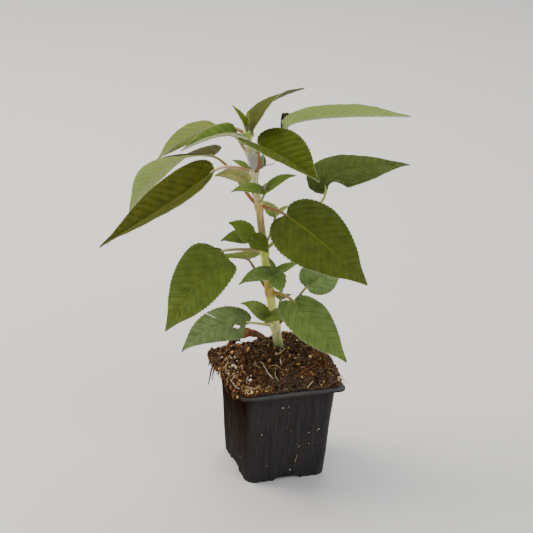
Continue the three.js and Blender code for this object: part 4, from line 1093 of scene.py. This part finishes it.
def blade_mesh(leaf, seed):
    """A closed blade: its course, points, faces, the values that its material reads, and where hairs grow.

    The material reads, for each point, its place along and across the flat blade in mm and 0 above or 1
    below, then its count of side veins and its shares of the half width and of the length."""
    blade = Blade(leaf)
    length, width = blade.length, leaf["width"]
    full = min(1, width / FULL_WIDTH)
    teeth = max(5, round(length * 1.08 / TOOTH_PITCH))
    rows, columns = teeth * ROWS_PER_TOOTH, max(5, round(width / 2 / COLUMN_WIDTH))
    v = np.arange(rows + 1) / rows
    phase = (v * teeth) % 1
    tooth = TOOTH_DEPTH * full * np.sin(np.pi * phase ** TOOTH_LEAN) * np.minimum(1, 3 * (1 - v))
    plain, _ = blade_margin(leaf, length, rows, 0)
    margins = [blade_margin(leaf, length, rows, lobe) for lobe in leaf["lobes"]]
    left, right = (margin + out * tooth[:, None] for margin, out in margins)
    rib = np.clip(np.maximum((plain[:, 0] - 0.08 * length) / 0.92, 0.2 * length * v), 0, length)
    s = np.arange(-columns, columns + 1) / columns
    share = np.abs(s)[None, :] + 0 * v[:, None]
    margin = np.where((s > 0)[None, :, None], left[:, None], right[:, None])
    along = rib[:, None] + (margin[:, :, 0] - rib[:, None]) * share
    across = margin[:, :, 1] * s[None, :]
    reach = np.abs(across)
    # Side veins: the count along the blade is a whole number where a vein runs
    spacing = VEIN_SPACING * (0.45 + 0.55 * full)
    vein = (along - VEIN_SLANT * reach - VEIN_ARCH * reach ** 2) / spacing + 0.25 * np.sign(s)[None, :]
    near = np.abs(vein - np.round(vein)) * spacing * 0.8
    inner = np.clip(reach / 3, 0, 1) * np.clip((1 - share) * 6, 0, 1)
    puff = PUFF * full * inner * (0.5 - 0.5 * np.cos(2 * np.pi * vein))
    groove = GROOVE * full * np.exp(-(near / GROOVE_HALF) ** 2) * np.clip((1 - share) * 5, 0, 1)
    rib_groove = RIB_GROOVE * full * np.exp(-(reach / RIB_GROOVE_HALF) ** 2) * (1 - 0.6 * along / length)
    wave = WAVE * full * lattice(along / WAVE_REACH + seed, s[None, :] * 1.7 + seed) * share
    ripple = lattice(along / RIPPLE_REACH + seed * 3, np.sign(s)[None, :] * 3 + share)
    wave += RIPPLE * full * ripple * share ** 3
    middle = puff + wave
    half = BLADE_THICKNESS / 2 * (1 - 0.6 * share ** 6)
    keel = KEEL * full * (1 - 0.7 * along / length) * np.exp(-(reach / full) ** 2)
    ridge = VEIN_RIDGE * full * np.exp(-(near / VEIN_RIDGE_HALF) ** 2)
    below = keel + ridge * np.clip((1 - share) * 4, 0, 1)
    tops = blade.place(along.ravel(), across.ravel(), (middle - groove - rib_groove + half).ravel())
    unders = blade.place(along.ravel(), across.ravel(), (middle - half - below).ravel())
    torn = None
    if "tear" in leaf:
        at_along, at_across, half_along, half_across = leaf["tear"]
        far = ((along - at_along) / half_along) ** 2 + ((across - at_across) / half_across) ** 2
        torn = (far[:-1, :-1] + far[1:, 1:] + far[1:, :-1] + far[:-1, 1:]) / 4 < 1
    points, faces = closed_sheet(tops, unders, rows + 1, torn)
    fringe = blade_hairs(*(skin.reshape(rows + 1, -1, 3) for skin in (tops, unders)))
    flat = np.stack([along.ravel(), across.ravel()], 1)
    blade_at = np.column_stack([np.tile(flat, (2, 1)), np.repeat([0.0, 1.0], len(tops))])
    vein_at = np.column_stack([np.tile(values.ravel(), 2) for values in (vein, share, along / length)])
    return blade, points, faces, blade_at, vein_at, fringe


def blade_hairs(tops, unders):
    """Roots and directions of a blade's hairs: a fringe round its margin, then hairs on both sides."""
    middle = (tops + unders) / 2
    forward = unit(np.gradient(middle, axis=0) + 1e-9)
    roots, outs = [], []
    for rim, inner in ((0, 1), (-1, -2)):
        edge = middle[:, rim]
        outer = unit(edge - middle[:, inner]) + 0.5 * forward[:, rim]
        along = np.concatenate([[0], np.cumsum(np.linalg.norm(np.diff(edge, axis=0), axis=1))])
        place = chance.uniform(0, along[-1], int(along[-1] / FRINGE_SPACING))
        roots.append(np.stack([np.interp(place, along, edge[:, k]) for k in range(3)], 1))
        outs.append(np.stack([np.interp(place, along, outer[:, k]) for k in range(3)], 1))
    rows, columns = tops.shape[:2]
    for skin, sign in ((tops, 1), (unders, -1)):
        count = int(rows * columns * DOWN_SHARE)
        row, column = chance.integers(1, rows - 1, count), chance.integers(1, columns - 1, count)
        roots.append(skin[row, column])
        outs.append(0.6 * sign * unit(tops - unders)[row, column] + 0.8 * forward[row, column])
    return np.concatenate(roots), np.concatenate(outs)


def stalk_hairs(points, sides, count):
    """Roots and directions of the hairs on a stalk, from its rings of points."""
    rings = points[:-2].reshape(-1, sides, 3)
    row, column = chance.integers(1, len(rings) - 1, count), chance.integers(0, sides, count)
    return rings[row, column], unit(rings[row, column] - rings.mean(1)[row])


def shade(code, by):
    """A colour made darker or lighter by a factor."""
    return [min(1, value * by) for value in linear(code)[:3]] + [1]


# How far the green of the upper side drifts from its own, dark to light
DRIFT = [(0.3, 0.78), (0.5, 1.12), (0.72, 1.45)]
DEAD_TISSUE = "#7a5230"


def leaf_material(name, look):
    """A soft green leaf: matt, veined, paler below, and a little light passes through its tissue of IOR 1.42.

    Its patterns lie on the flat blade in mm, so their scales are grains in a millimetre."""
    material, tree, shader = new_material(
        name, IOR=1.42, Specular_IOR_Level=look["gloss"], Subsurface_Weight=0.08, Subsurface_Scale=1.2 * MM,
        Sheen_Weight=look["down"], Sheen_Roughness=0.4, Sheen_Tint=linear("#dfe6d2"))
    shader.inputs["Subsurface Radius"].default_value = (0.5, 1.0, 0.2)
    blade = add(tree, "Attribute", {"attribute_name": "blade"}).outputs["Vector"]
    veins = add(tree, "Attribute", {"attribute_name": "vein"}).outputs["Vector"]
    flat = add(tree, "SeparateXYZ", {}, {"Vector": blade})
    along = add(tree, "SeparateXYZ", {}, {"Vector": veins})
    share, length = along.outputs["Y"], along.outputs["Z"]
    cloud = add(tree, "TexNoise", {"Scale": 0.11, "Detail": 4}, {"Vector": blade})
    warped = add(tree, "Mapping", {"Scale": (1, 1.5, 1)}, {"Vector": blade})
    mesh = add(tree, "TexVoronoi", {"feature": "DISTANCE_TO_EDGE", "Scale": 0.75}, {"Vector": warped})
    net = add(tree, "MapRange", {"From Min": 0, "From Max": 0.25}, {"Value": mesh})
    line = add(tree, "Math", {"operation": "PINGPONG", 1: 0.5}, {0: along.outputs["X"]})
    # Upper side: its green drifts between darker and lighter, with painted shade in the sunken net and along
    # the sunken side veins
    top = look["top"]
    drift = add(tree, "Math", {"operation": "MULTIPLY_ADD", 1: look["grade"]}, {0: length, 2: cloud})
    green = add(tree, "ValToRGB", {"stops": [(at, shade(top, by)) for at, by in DRIFT]}, {"Fac": drift})
    cells = add(tree, "MapRange", {"To Min": 0.4, "To Max": 0}, {"Value": net})
    green = add(tree, "Mix", {"data_type": "RGBA", 7: shade(top, 0.62)}, {"Factor": cells, 6: green})
    thin = {"From Min": 0.02, "From Max": 0.1, "To Min": look["veins"], "To Max": 0}
    thin = add(tree, "MapRange", thin, {"Value": line})
    green = add(tree, "Mix", {"data_type": "RGBA", 7: shade(top, 0.5)}, {"Factor": thin, 6: green.outputs[2]})
    # Its midrib is a thin yellow line that fades on the way to the tip
    across = add(tree, "Math", {"operation": "ABSOLUTE"}, {0: flat.outputs["Y"]})
    fading = {"From Min": 0.1, "From Max": look["rib_ends"], "To Min": 0.9, "To Max": 0.1}
    fading = add(tree, "MapRange", fading, {"Value": length})
    near = {"From Min": 0.16, "From Max": 0.46, "To Min": 1, "To Max": 0}
    near = add(tree, "MapRange", near, {"Value": across})
    rib = add(tree, "Math", {"operation": "MULTIPLY"}, {0: near, 1: fading})
    green = add(tree, "Mix", {"data_type": "RGBA", 7: linear(look["rib"])},
                {"Factor": rib, 6: green.outputs[2]})
    # Under side: paler, with fine whitish side veins and a thick pale midrib
    pale = look["under"]
    fine = {"From Min": 0.02, "From Max": 0.085, "To Min": 0.8, "To Max": 0}
    fine = add(tree, "MapRange", fine, {"Value": line})
    under = add(tree, "Mix", {"data_type": "RGBA", 6: linear(pale), 7: shade(pale, 1.55)}, {"Factor": fine})
    under = add(tree, "Mix", {"data_type": "RGBA", 7: shade(pale, 1.45)},
                {"Factor": cells, 6: under.outputs[2]})
    keel = {"From Min": 0.5, "From Max": 1.3, "To Min": 0.85, "To Max": 0}
    keel = add(tree, "MapRange", keel, {"Value": across})
    under = add(tree, "Mix", {"data_type": "RGBA", 7: linear(look["keel"])},
                {"Factor": keel, 6: under.outputs[2]})
    skins = {"Factor": flat.outputs["Z"], 6: green.outputs[2], 7: under.outputs[2]}
    both = add(tree, "Mix", {"data_type": "RGBA"}, skins)
    if "tear" in look:
        # The tissue round a hole is dead and brown
        at_along, at_across, half_along, half_across = look["tear"]
        centred = {"Location": (-at_along / half_along, -at_across / half_across, 0),
                   "Scale": (1 / half_along, 1 / half_across, 0)}
        away = add(tree, "Mapping", centred, {"Vector": blade})
        away = add(tree, "VectorMath", {"operation": "LENGTH"}, {0: away})
        dead = add(tree, "MapRange", {"From Min": 1.05, "From Max": 1.6, "To Min": 0.85, "To Max": 0},
                   {"Value": away.outputs["Value"]})
        both = add(tree, "Mix", {"data_type": "RGBA", 7: linear(DEAD_TISSUE)},
                   {"Factor": dead, 6: both.outputs[2]})
    # Margin: a thin pale line, the down's own colour lightened further as a painted rim light
    edge = add(tree, "MapRange", {"From Min": 0.965, "From Max": 1, "To Max": 0.75}, {"Value": share})
    both = add(tree, "Mix", {"data_type": "RGBA", 7: linear(look["edge"])},
               {"Factor": edge, 6: both.outputs[2]})
    tree.links.new(both.outputs[2], shader.inputs["Base Color"])
    rough = add(tree, "MapRange", {"To Min": 0.5, "To Max": 0.7}, {"Value": cloud})
    tree.links.new(rough.outputs[0], shader.inputs["Roughness"])
    netted = add(tree, "Bump", {"Strength": 0.9, "Distance": 0.7 * MM}, {"Height": net})
    tree.links.new(netted.outputs[0], shader.inputs["Normal"])
    return material


def stalk_material(name, foot, end):
    """Fresh leaf stalk: smooth and fleshy, with one colour at its foot that grades to another at its end."""
    material, tree, shader = new_material(
        name, IOR=1.42, Roughness=0.48, Subsurface_Weight=0.15, Subsurface_Scale=2 * MM,
        Sheen_Weight=0.1, Sheen_Roughness=0.5, Sheen_Tint=linear("#eef0e6"))
    shader.inputs["Subsurface Radius"].default_value = (0.9, 0.9, 0.4)
    stalk = add(tree, "Attribute", {"attribute_name": "blade"}).outputs["Vector"]
    place = add(tree, "TexCoord").outputs["Object"]
    spread = add(tree, "TexNoise", {"Scale": 0.5 / MM, "Detail": 3}, {"Vector": place})
    share = add(tree, "SeparateXYZ", {}, {"Vector": stalk})
    wander = add(tree, "MapRange", {"To Min": -0.2, "To Max": 0.2}, {"Value": spread})
    wander = add(tree, "Math", {"operation": "ADD"}, {0: share.outputs["X"], 1: wander})
    colour = add(tree, "ValToRGB", {"stops": [(0.15, foot), (0.85, end)]}, {"Fac": wander})
    tree.links.new(colour.outputs[0], shader.inputs["Base Color"])
    fleshy = add(tree, "Bump", {"Strength": 0.3, "Distance": 0.2 * MM}, {"Height": spread})
    tree.links.new(fleshy.outputs[0], shader.inputs["Normal"])
    return material


# Looks shared by most leaves: colours of the upper and under side, the keel, the midrib and the margin (its
# pale line partly a painted rim light), how far the midrib shows, how dark the painted shade along the side
# veins is, how much paler the tip is, its gloss, its down and the stalk's colours at its foot and its end.
GREEN = {
    "top": "#3f4606", "under": "#767f3c", "keel": "#c3c79a", "rib": "#9a9a2c", "edge": "#b4bc84",
    "rib_ends": 0.8, "veins": 0.32, "grade": 0.12, "gloss": 0.12, "down": 0.02,
    "stalk": ("#8a6238", "#8a8038"),
}
# Each leaf: the base, middle and tip of its midrib, its width, its roll at the base and at the tip, the fold
# of its halves, how far its left and right lobes reach back, and what differs of its look. A bow is how far
# its stalk swings to a side.
# The midribs, widths, rolls, folds and lobes of leaf_2_right, leaf_3_left and all of nodes 4 to 6 were fitted
# to outlines traced in the photograph by a separate program, then rounded. Most upper and under colours, here
# and of the side shoots, were scaled by another towards the piece's median colour in the photograph.
LEAVES = [
    {"name": "leaf_0_left", "node": 0, "base": (-22, 4, 114), "mid": (-51, 2, 113.5), "tip": (-73, 0, 98),
     "width": 30, "roll": (-27, -27), "fold": 8, "lobes": (-0.12, 0),
     "top": "#71834d", "rib": "#7d8a4c", "stalk": ("#c0b87c", "#cccc90"), "veins": 0.42,
     # A hole is eaten into it near its base: place along and across the blade, and half sizes
     "tear": (11, 4.1, 3.1, 1.75),
     # A bleached straw lies on it
     # A thin white streak lies across it, made as a tube in the hair's white
     "white_streak": [(-53.2, 14.4, 120.5), (-50, 11.3, 120), (-46.5, 7.1, 118.8)]},
    {"name": "leaf_0_right", "node": 0, "base": (25, 14, 133), "mid": (43, 27, 136), "tip": (61, 41, 138),
     "width": 27, "roll": (35, 35), "fold": 15,
     "top": "#6b8144", "rib": "#8a7a30", "stalk": ("#7a7434", "#848244"), "veins": 0.42},
    {"name": "leaf_1_right", "node": 1, "base": (5, -14, 136), "mid": (15, -36, 124), "tip": (33, -53, 103),
     "width": 36, "roll": (12, 15), "fold": 8,
     "top": "#71863e", "rib": "#848a34", "stalk": ("#987a30", "#a48e42"), "veins": 0.5},
    {"name": "leaf_1_left", "node": 1, "base": (-17, 27, 154), "mid": (-19, 44, 150), "tip": (-22, 60, 145),
     "width": 26, "roll": (0, 0), "fold": 15,
     "top": "#737e29", "rib": "#80783c", "stalk": ("#8c6a44", "#7a6c36")},
    {"name": "leaf_2_left", "node": 2, "base": (-44, 2, 173), "mid": (-62, -9, 162), "tip": (-86, -2, 117),
     "width": 42, "roll": (-28, -38), "fold": 6, "lobes": (-0.1, -0.1),
     "top": "#657529", "rib": "#74782c", "stalk": ("#b08e68", "#a09a54"), "veins": 0.42},
    {"name": "leaf_2_right", "node": 2, "base": (37.5, 15, 208), "mid": (49.5, 21.5, 218),
     "tip": (104.5, 24, 218.5), "width": 40, "roll": (14, 8), "fold": 9, "lobes": (-0.02, -0.06),
     "top": "#455315", "rib": "#545e2c", "stalk": ("#a2b04c", "#98a848"), "rib_ends": 0.5, "bow": (-9, 3, 0)},
    {"name": "leaf_3_right", "node": 3, "base": (-2, -10, 201), "mid": (17, -35, 188), "tip": (44, -55, 162),
     "width": 50, "roll": (36, 36), "fold": 5,
     "top": "#5b6720", "rib": "#a8ac36", "stalk": ("#96622c", "#8c6834"), "rib_ends": 0.8},
    {"name": "leaf_3_left", "node": 3, "base": (-40, 44, 229), "mid": (-67, 69, 215), "tip": (-92, 82, 176),
     "width": 46, "roll": (2, 41), "fold": 16, "lobes": (-0.12, -0.03),
     "top": "#43400f", "under": "#adc06f", "stalk": ("#a8743a", "#8e803c")},
    {"name": "leaf_4_left", "node": 4, "base": (-48, 13.5, 229.5), "mid": (-79, 14.5, 208),
     "tip": (-128, 20, 176.5), "width": 38, "roll": (-14, -14), "fold": 29, "lobes": (-0.05, -0.02),
     "top": "#4b4f05", "rib": "#80801f", "stalk": ("#bc8e68", "#d8b896"), "rib_ends": 0.6},
    {"name": "leaf_4_right", "node": 4, "base": (-24, -6.5, 253.5), "mid": (-11, -30, 250),
     "tip": (3.5, -58, 242.5), "width": 39.5, "roll": (9, 14), "fold": 36, "lobes": (0, 0.11),
     "top": "#4b5707", "rib": "#7c8430", "stalk": ("#8c5c3c", "#94683c"), "rib_ends": 0.6,
     "bow": (5.5, -1.9, 0)},
    {"name": "leaf_5_left", "node": 5, "base": (-30.5, 14, 250), "mid": (-47, 4, 258), "tip": (-73, 12, 246),
     "width": 20, "roll": (-8, 4), "fold": 38, "lobes": (0.02, -0.15),
     "top": "#5c7222", "under": "#d8dca4", "rib": "#8a9444", "stalk": ("#c49a6c", "#b0a070")},
    {"name": "leaf_5_right", "node": 5, "base": (3, 12.5, 256.5), "mid": (25, 6.5, 265),
     "tip": (92, 1, 263.5), "width": 40, "roll": (-21, -27), "fold": 29, "lobes": (0.05, -0.06),
     "top": "#3c3804", "under": "#b1c670", "keel": "#d6d4bc", "rib": "#6c6c1c",
     "stalk": ("#8c8844", "#94985c")},
    {"name": "leaf_6_left", "node": 6, "base": (-41.5, 32, 256), "mid": (-58, 41, 247),
     "tip": (-81, 46.5, 228), "width": 25, "roll": (36, 55), "fold": 14, "lobes": (-0.06, -0.08),
     "top": "#4c5810", "under": "#b7c36c", "stalk": ("#8c6c3c", "#6c7420")},
    {"name": "leaf_6_right", "node": 6, "base": (-21, 13, 252.5), "mid": (-12, 19, 271), "tip": (18, 20, 283),
     "width": 47, "roll": (-19, -28), "fold": 12, "lobes": (-0.1, -0.06),
     "top": "#505604", "under": "#9c9c6c", "keel": "#b8b48c", "rib": "#84882c",
     "stalk": ("#94903c", "#8c9448")},
]

for number, leaf in enumerate(LEAVES):
    look = {**GREEN, "lobes": (0, 0), "bow": np.zeros(3), **leaf}
    blade, points, faces, blade_at, vein_at, fringe = blade_mesh(look, number * 7.3)
    bodies = Bodies("blade", "vein")
    bodies.add(points, faces, 0, blade=blade_at, vein=vein_at)
    # The stalk leaves the stem a little upwards and runs into the midrib
    foot, base, bow = stem_at(NODE_HEIGHTS[leaf["node"]]), blade.base, look["bow"]
    reach = np.linalg.norm(base - foot)
    outwards = unit((base - foot) * (1, 1, 0))
    tangent = blade.midrib(np.array([0.0]))[1][0]
    path = bezier([foot, foot + outwards * reach * STALK_BEND + (0, 0, reach * 0.1) + bow,
                   base - tangent * reach * STALK_BEND + bow, blade.midrib(np.array([0.03]))[0][0]])
    made, faces, share = tube_along(path, lambda u: STALK_RADIUS * (1.25 - 0.5 * u), STALK_SIDES)
    bodies.add(made, faces, 1, blade=share)
    hairs(bodies, *fringe, chance.uniform(0.35, 0.75, len(fringe[0])), LEAF_HAIR, 2)
    on_stalk = stalk_hairs(made, STALK_SIDES, STALK_HAIRS)
    hairs(bodies, *on_stalk, chance.uniform(0.3, 0.8, STALK_HAIRS), LEAF_HAIR, 2)
    # The thin white streak on leaf_0_left: a tube in the hair's white
    if "white_streak" in leaf:
        made, faces, _ = tube_along(np.array(leaf["white_streak"], float), lambda u: 0.36 * (1 - 0.5 * u), 8, 12)
        bodies.add(made, faces, 2)
    materials = [leaf_material("leaf_tissue_" + leaf["name"][5:], look),
                 stalk_material("leaf_stalk_" + leaf["name"][5:], *look["stalk"]), plant_hair]
    piece = bodies.piece(leaf["name"].replace("leaf", "grown_leaf"), materials)
    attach(piece, "root")
    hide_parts(leaf["name"])


# Side shoots and growing tip

# Young shoots in the leaf axils: a short downy stalk with one to four small leaves, brighter than the big
# ones. The growing tip stands on the end of the stem.
SHOOT_RADIUS, SHOOT_ABOVE_NODE, SHOOT_SAG, SMALL_ROOT = 0.9, 3, 0.3, 0.4
# How the young leaves differ from the looks shared by most
YOUNG = {**GREEN, "top": "#4c560e", "rib": "#848a38", "edge": "#a0a868", "veins": 0.36, "down": 0.05,
         "stalk": ("#8c8844", "#8c9448")}
# Each shoot: its green, the end of its stalk, and its leaves with their tip, width, roll at the base and at
# the tip, fold and the rise of their middle.
SHOOTS = [
    {"name": "shoot_0_front", "node": 0, "top": "#819342", "end": (-10, -2, 120), "leaves": [
        ((-30, 0, 132), 13, (-45, -30), 10, 2), ((0, -18, 124), 16, (25, 25), 10, 2)]},
    {"name": "shoot_0_back", "node": 0, "top": "#6c7440", "end": (4, 11, 127), "leaves": [
        ((13, 12, 129), 6, (0, 0), 10, 1), ((-2, 17, 130), 5, (0, 0), 10, 1)]},
    {"name": "shoot_1_front", "node": 1, "top": "#839d50", "end": (-7, -5, 155), "leaves": [
        ((-33, -3, 148), 13, (-30, -20), 12, 3), ((-4, -14, 143), 12, (40, 40), 10, 2),
        ((-11, -1, 167), 7, (0, 0), 25, 0), ((12, -6, 162), 8, (20, 20), 15, 1)]},
    {"name": "shoot_2_front", "node": 2, "top": "#6b7d2a", "end": (-23, 1, 181), "leaves": [
        ((-39, 5, 193), 16, (-38, -30), 12, 2), ((-14, -9, 173), 14, (33, 30), 10, 2),
        ((-42, 13, 176), 15, (-22, -20), 9, 3)]},
    {"name": "shoot_2_back", "node": 2, "top": "#869642", "end": (-1, 15, 191), "leaves": [
        ((-8, 26, 199), 12, (0, 0), 10, 1), ((11, 17, 197), 6, (0, 0), 20, 1)]},
    {"name": "shoot_3_front", "node": 3, "top": "#7a953a", "end": (-16, -3, 217), "leaves": [
        ((-40, -1, 218), 11, (-20, -18), 12, 3), ((5, -8, 229), 12, (12, 15), 14, 3),
        ((-16, -4, 224), 4.5, (0, 0), 20, 0)]},
    {"name": "shoot_3_back", "node": 3, "top": "#a4a35f", "end": (-22, 14, 219), "leaves": [
        ((-44, 25, 221), 14, (-20, -20), 15, 3)]},
    {"name": "shoot_4_left", "node": 4, "top": "#90ac4a", "end": (-26, 7, 233), "leaves": [
        ((-37, 8, 238), 6, (-25, -25), 15, 0)]},
    {"name": "shoot_4_right", "node": 4, "top": "#b0ac74", "end": (-15, 7, 232), "leaves": [
        ((-16, 4, 243), 5, (0, 0), 15, 0), ((-4, 12, 232), 5, (-23, -23), 5, 0)]},
    {"name": "growing_tip", "foot": (-25.7, 12.1, 256.9), "top": "#849426", "end": (-26, 12, 261), "leaves": [
        ((-36, 14, 276), 7, (-30, -30), 30, 0), ((-24, 15, 269), 8, (-40, -40), 20, 0)]},
]

for number, shoot in enumerate(SHOOTS):
    if "foot" in shoot:
        foot = np.array(shoot["foot"])
    else:
        foot = stem_at(NODE_HEIGHTS[shoot["node"]] + SHOOT_ABOVE_NODE)
    end = np.array(shoot["end"], float)
    pull = foot * 0.4 + end * 0.6 - (0, 0, np.linalg.norm(end - foot) * SHOOT_SAG)
    bodies = Bodies("blade", "vein")
    made, faces, share = tube_along(bezier([foot, pull, end]), lambda u: SHOOT_RADIUS, STALK_SIDES)
    bodies.add(made, faces, 1, blade=share)
    on_stalk = stalk_hairs(made, STALK_SIDES, STALK_HAIRS)
    hairs(bodies, *on_stalk, chance.uniform(0.4, 1.1, STALK_HAIRS), LEAF_HAIR, 2)
    for k, (tip, width, rolls, fold, arch) in enumerate(shoot["leaves"]):
        tip = np.array(tip, float)
        root = end + unit(tip - end) * SMALL_ROOT
        small = {"base": root, "mid": (root + tip) / 2 + (0, 0, arch), "tip": tip,
                 "width": width, "roll": rolls, "fold": fold, "lobes": (0, 0)}
        _, points, faces, blade_at, vein_at, fringe = blade_mesh(small, number * 3.1 + k)
        bodies.add(points, faces, 0, blade=blade_at, vein=vein_at)
        hairs(bodies, *fringe, chance.uniform(0.35, 0.8, len(fringe[0])), LEAF_HAIR, 2)
    look = {**YOUNG, **shoot}
    name = shoot["name"]
    materials = [leaf_material("young_leaf_tissue_" + name, look),
                 stalk_material("shoot_stalk_" + name, *look["stalk"]), plant_hair]
    piece = bodies.piece("grown_" + name, materials)
    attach(piece, "root")
    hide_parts(name)
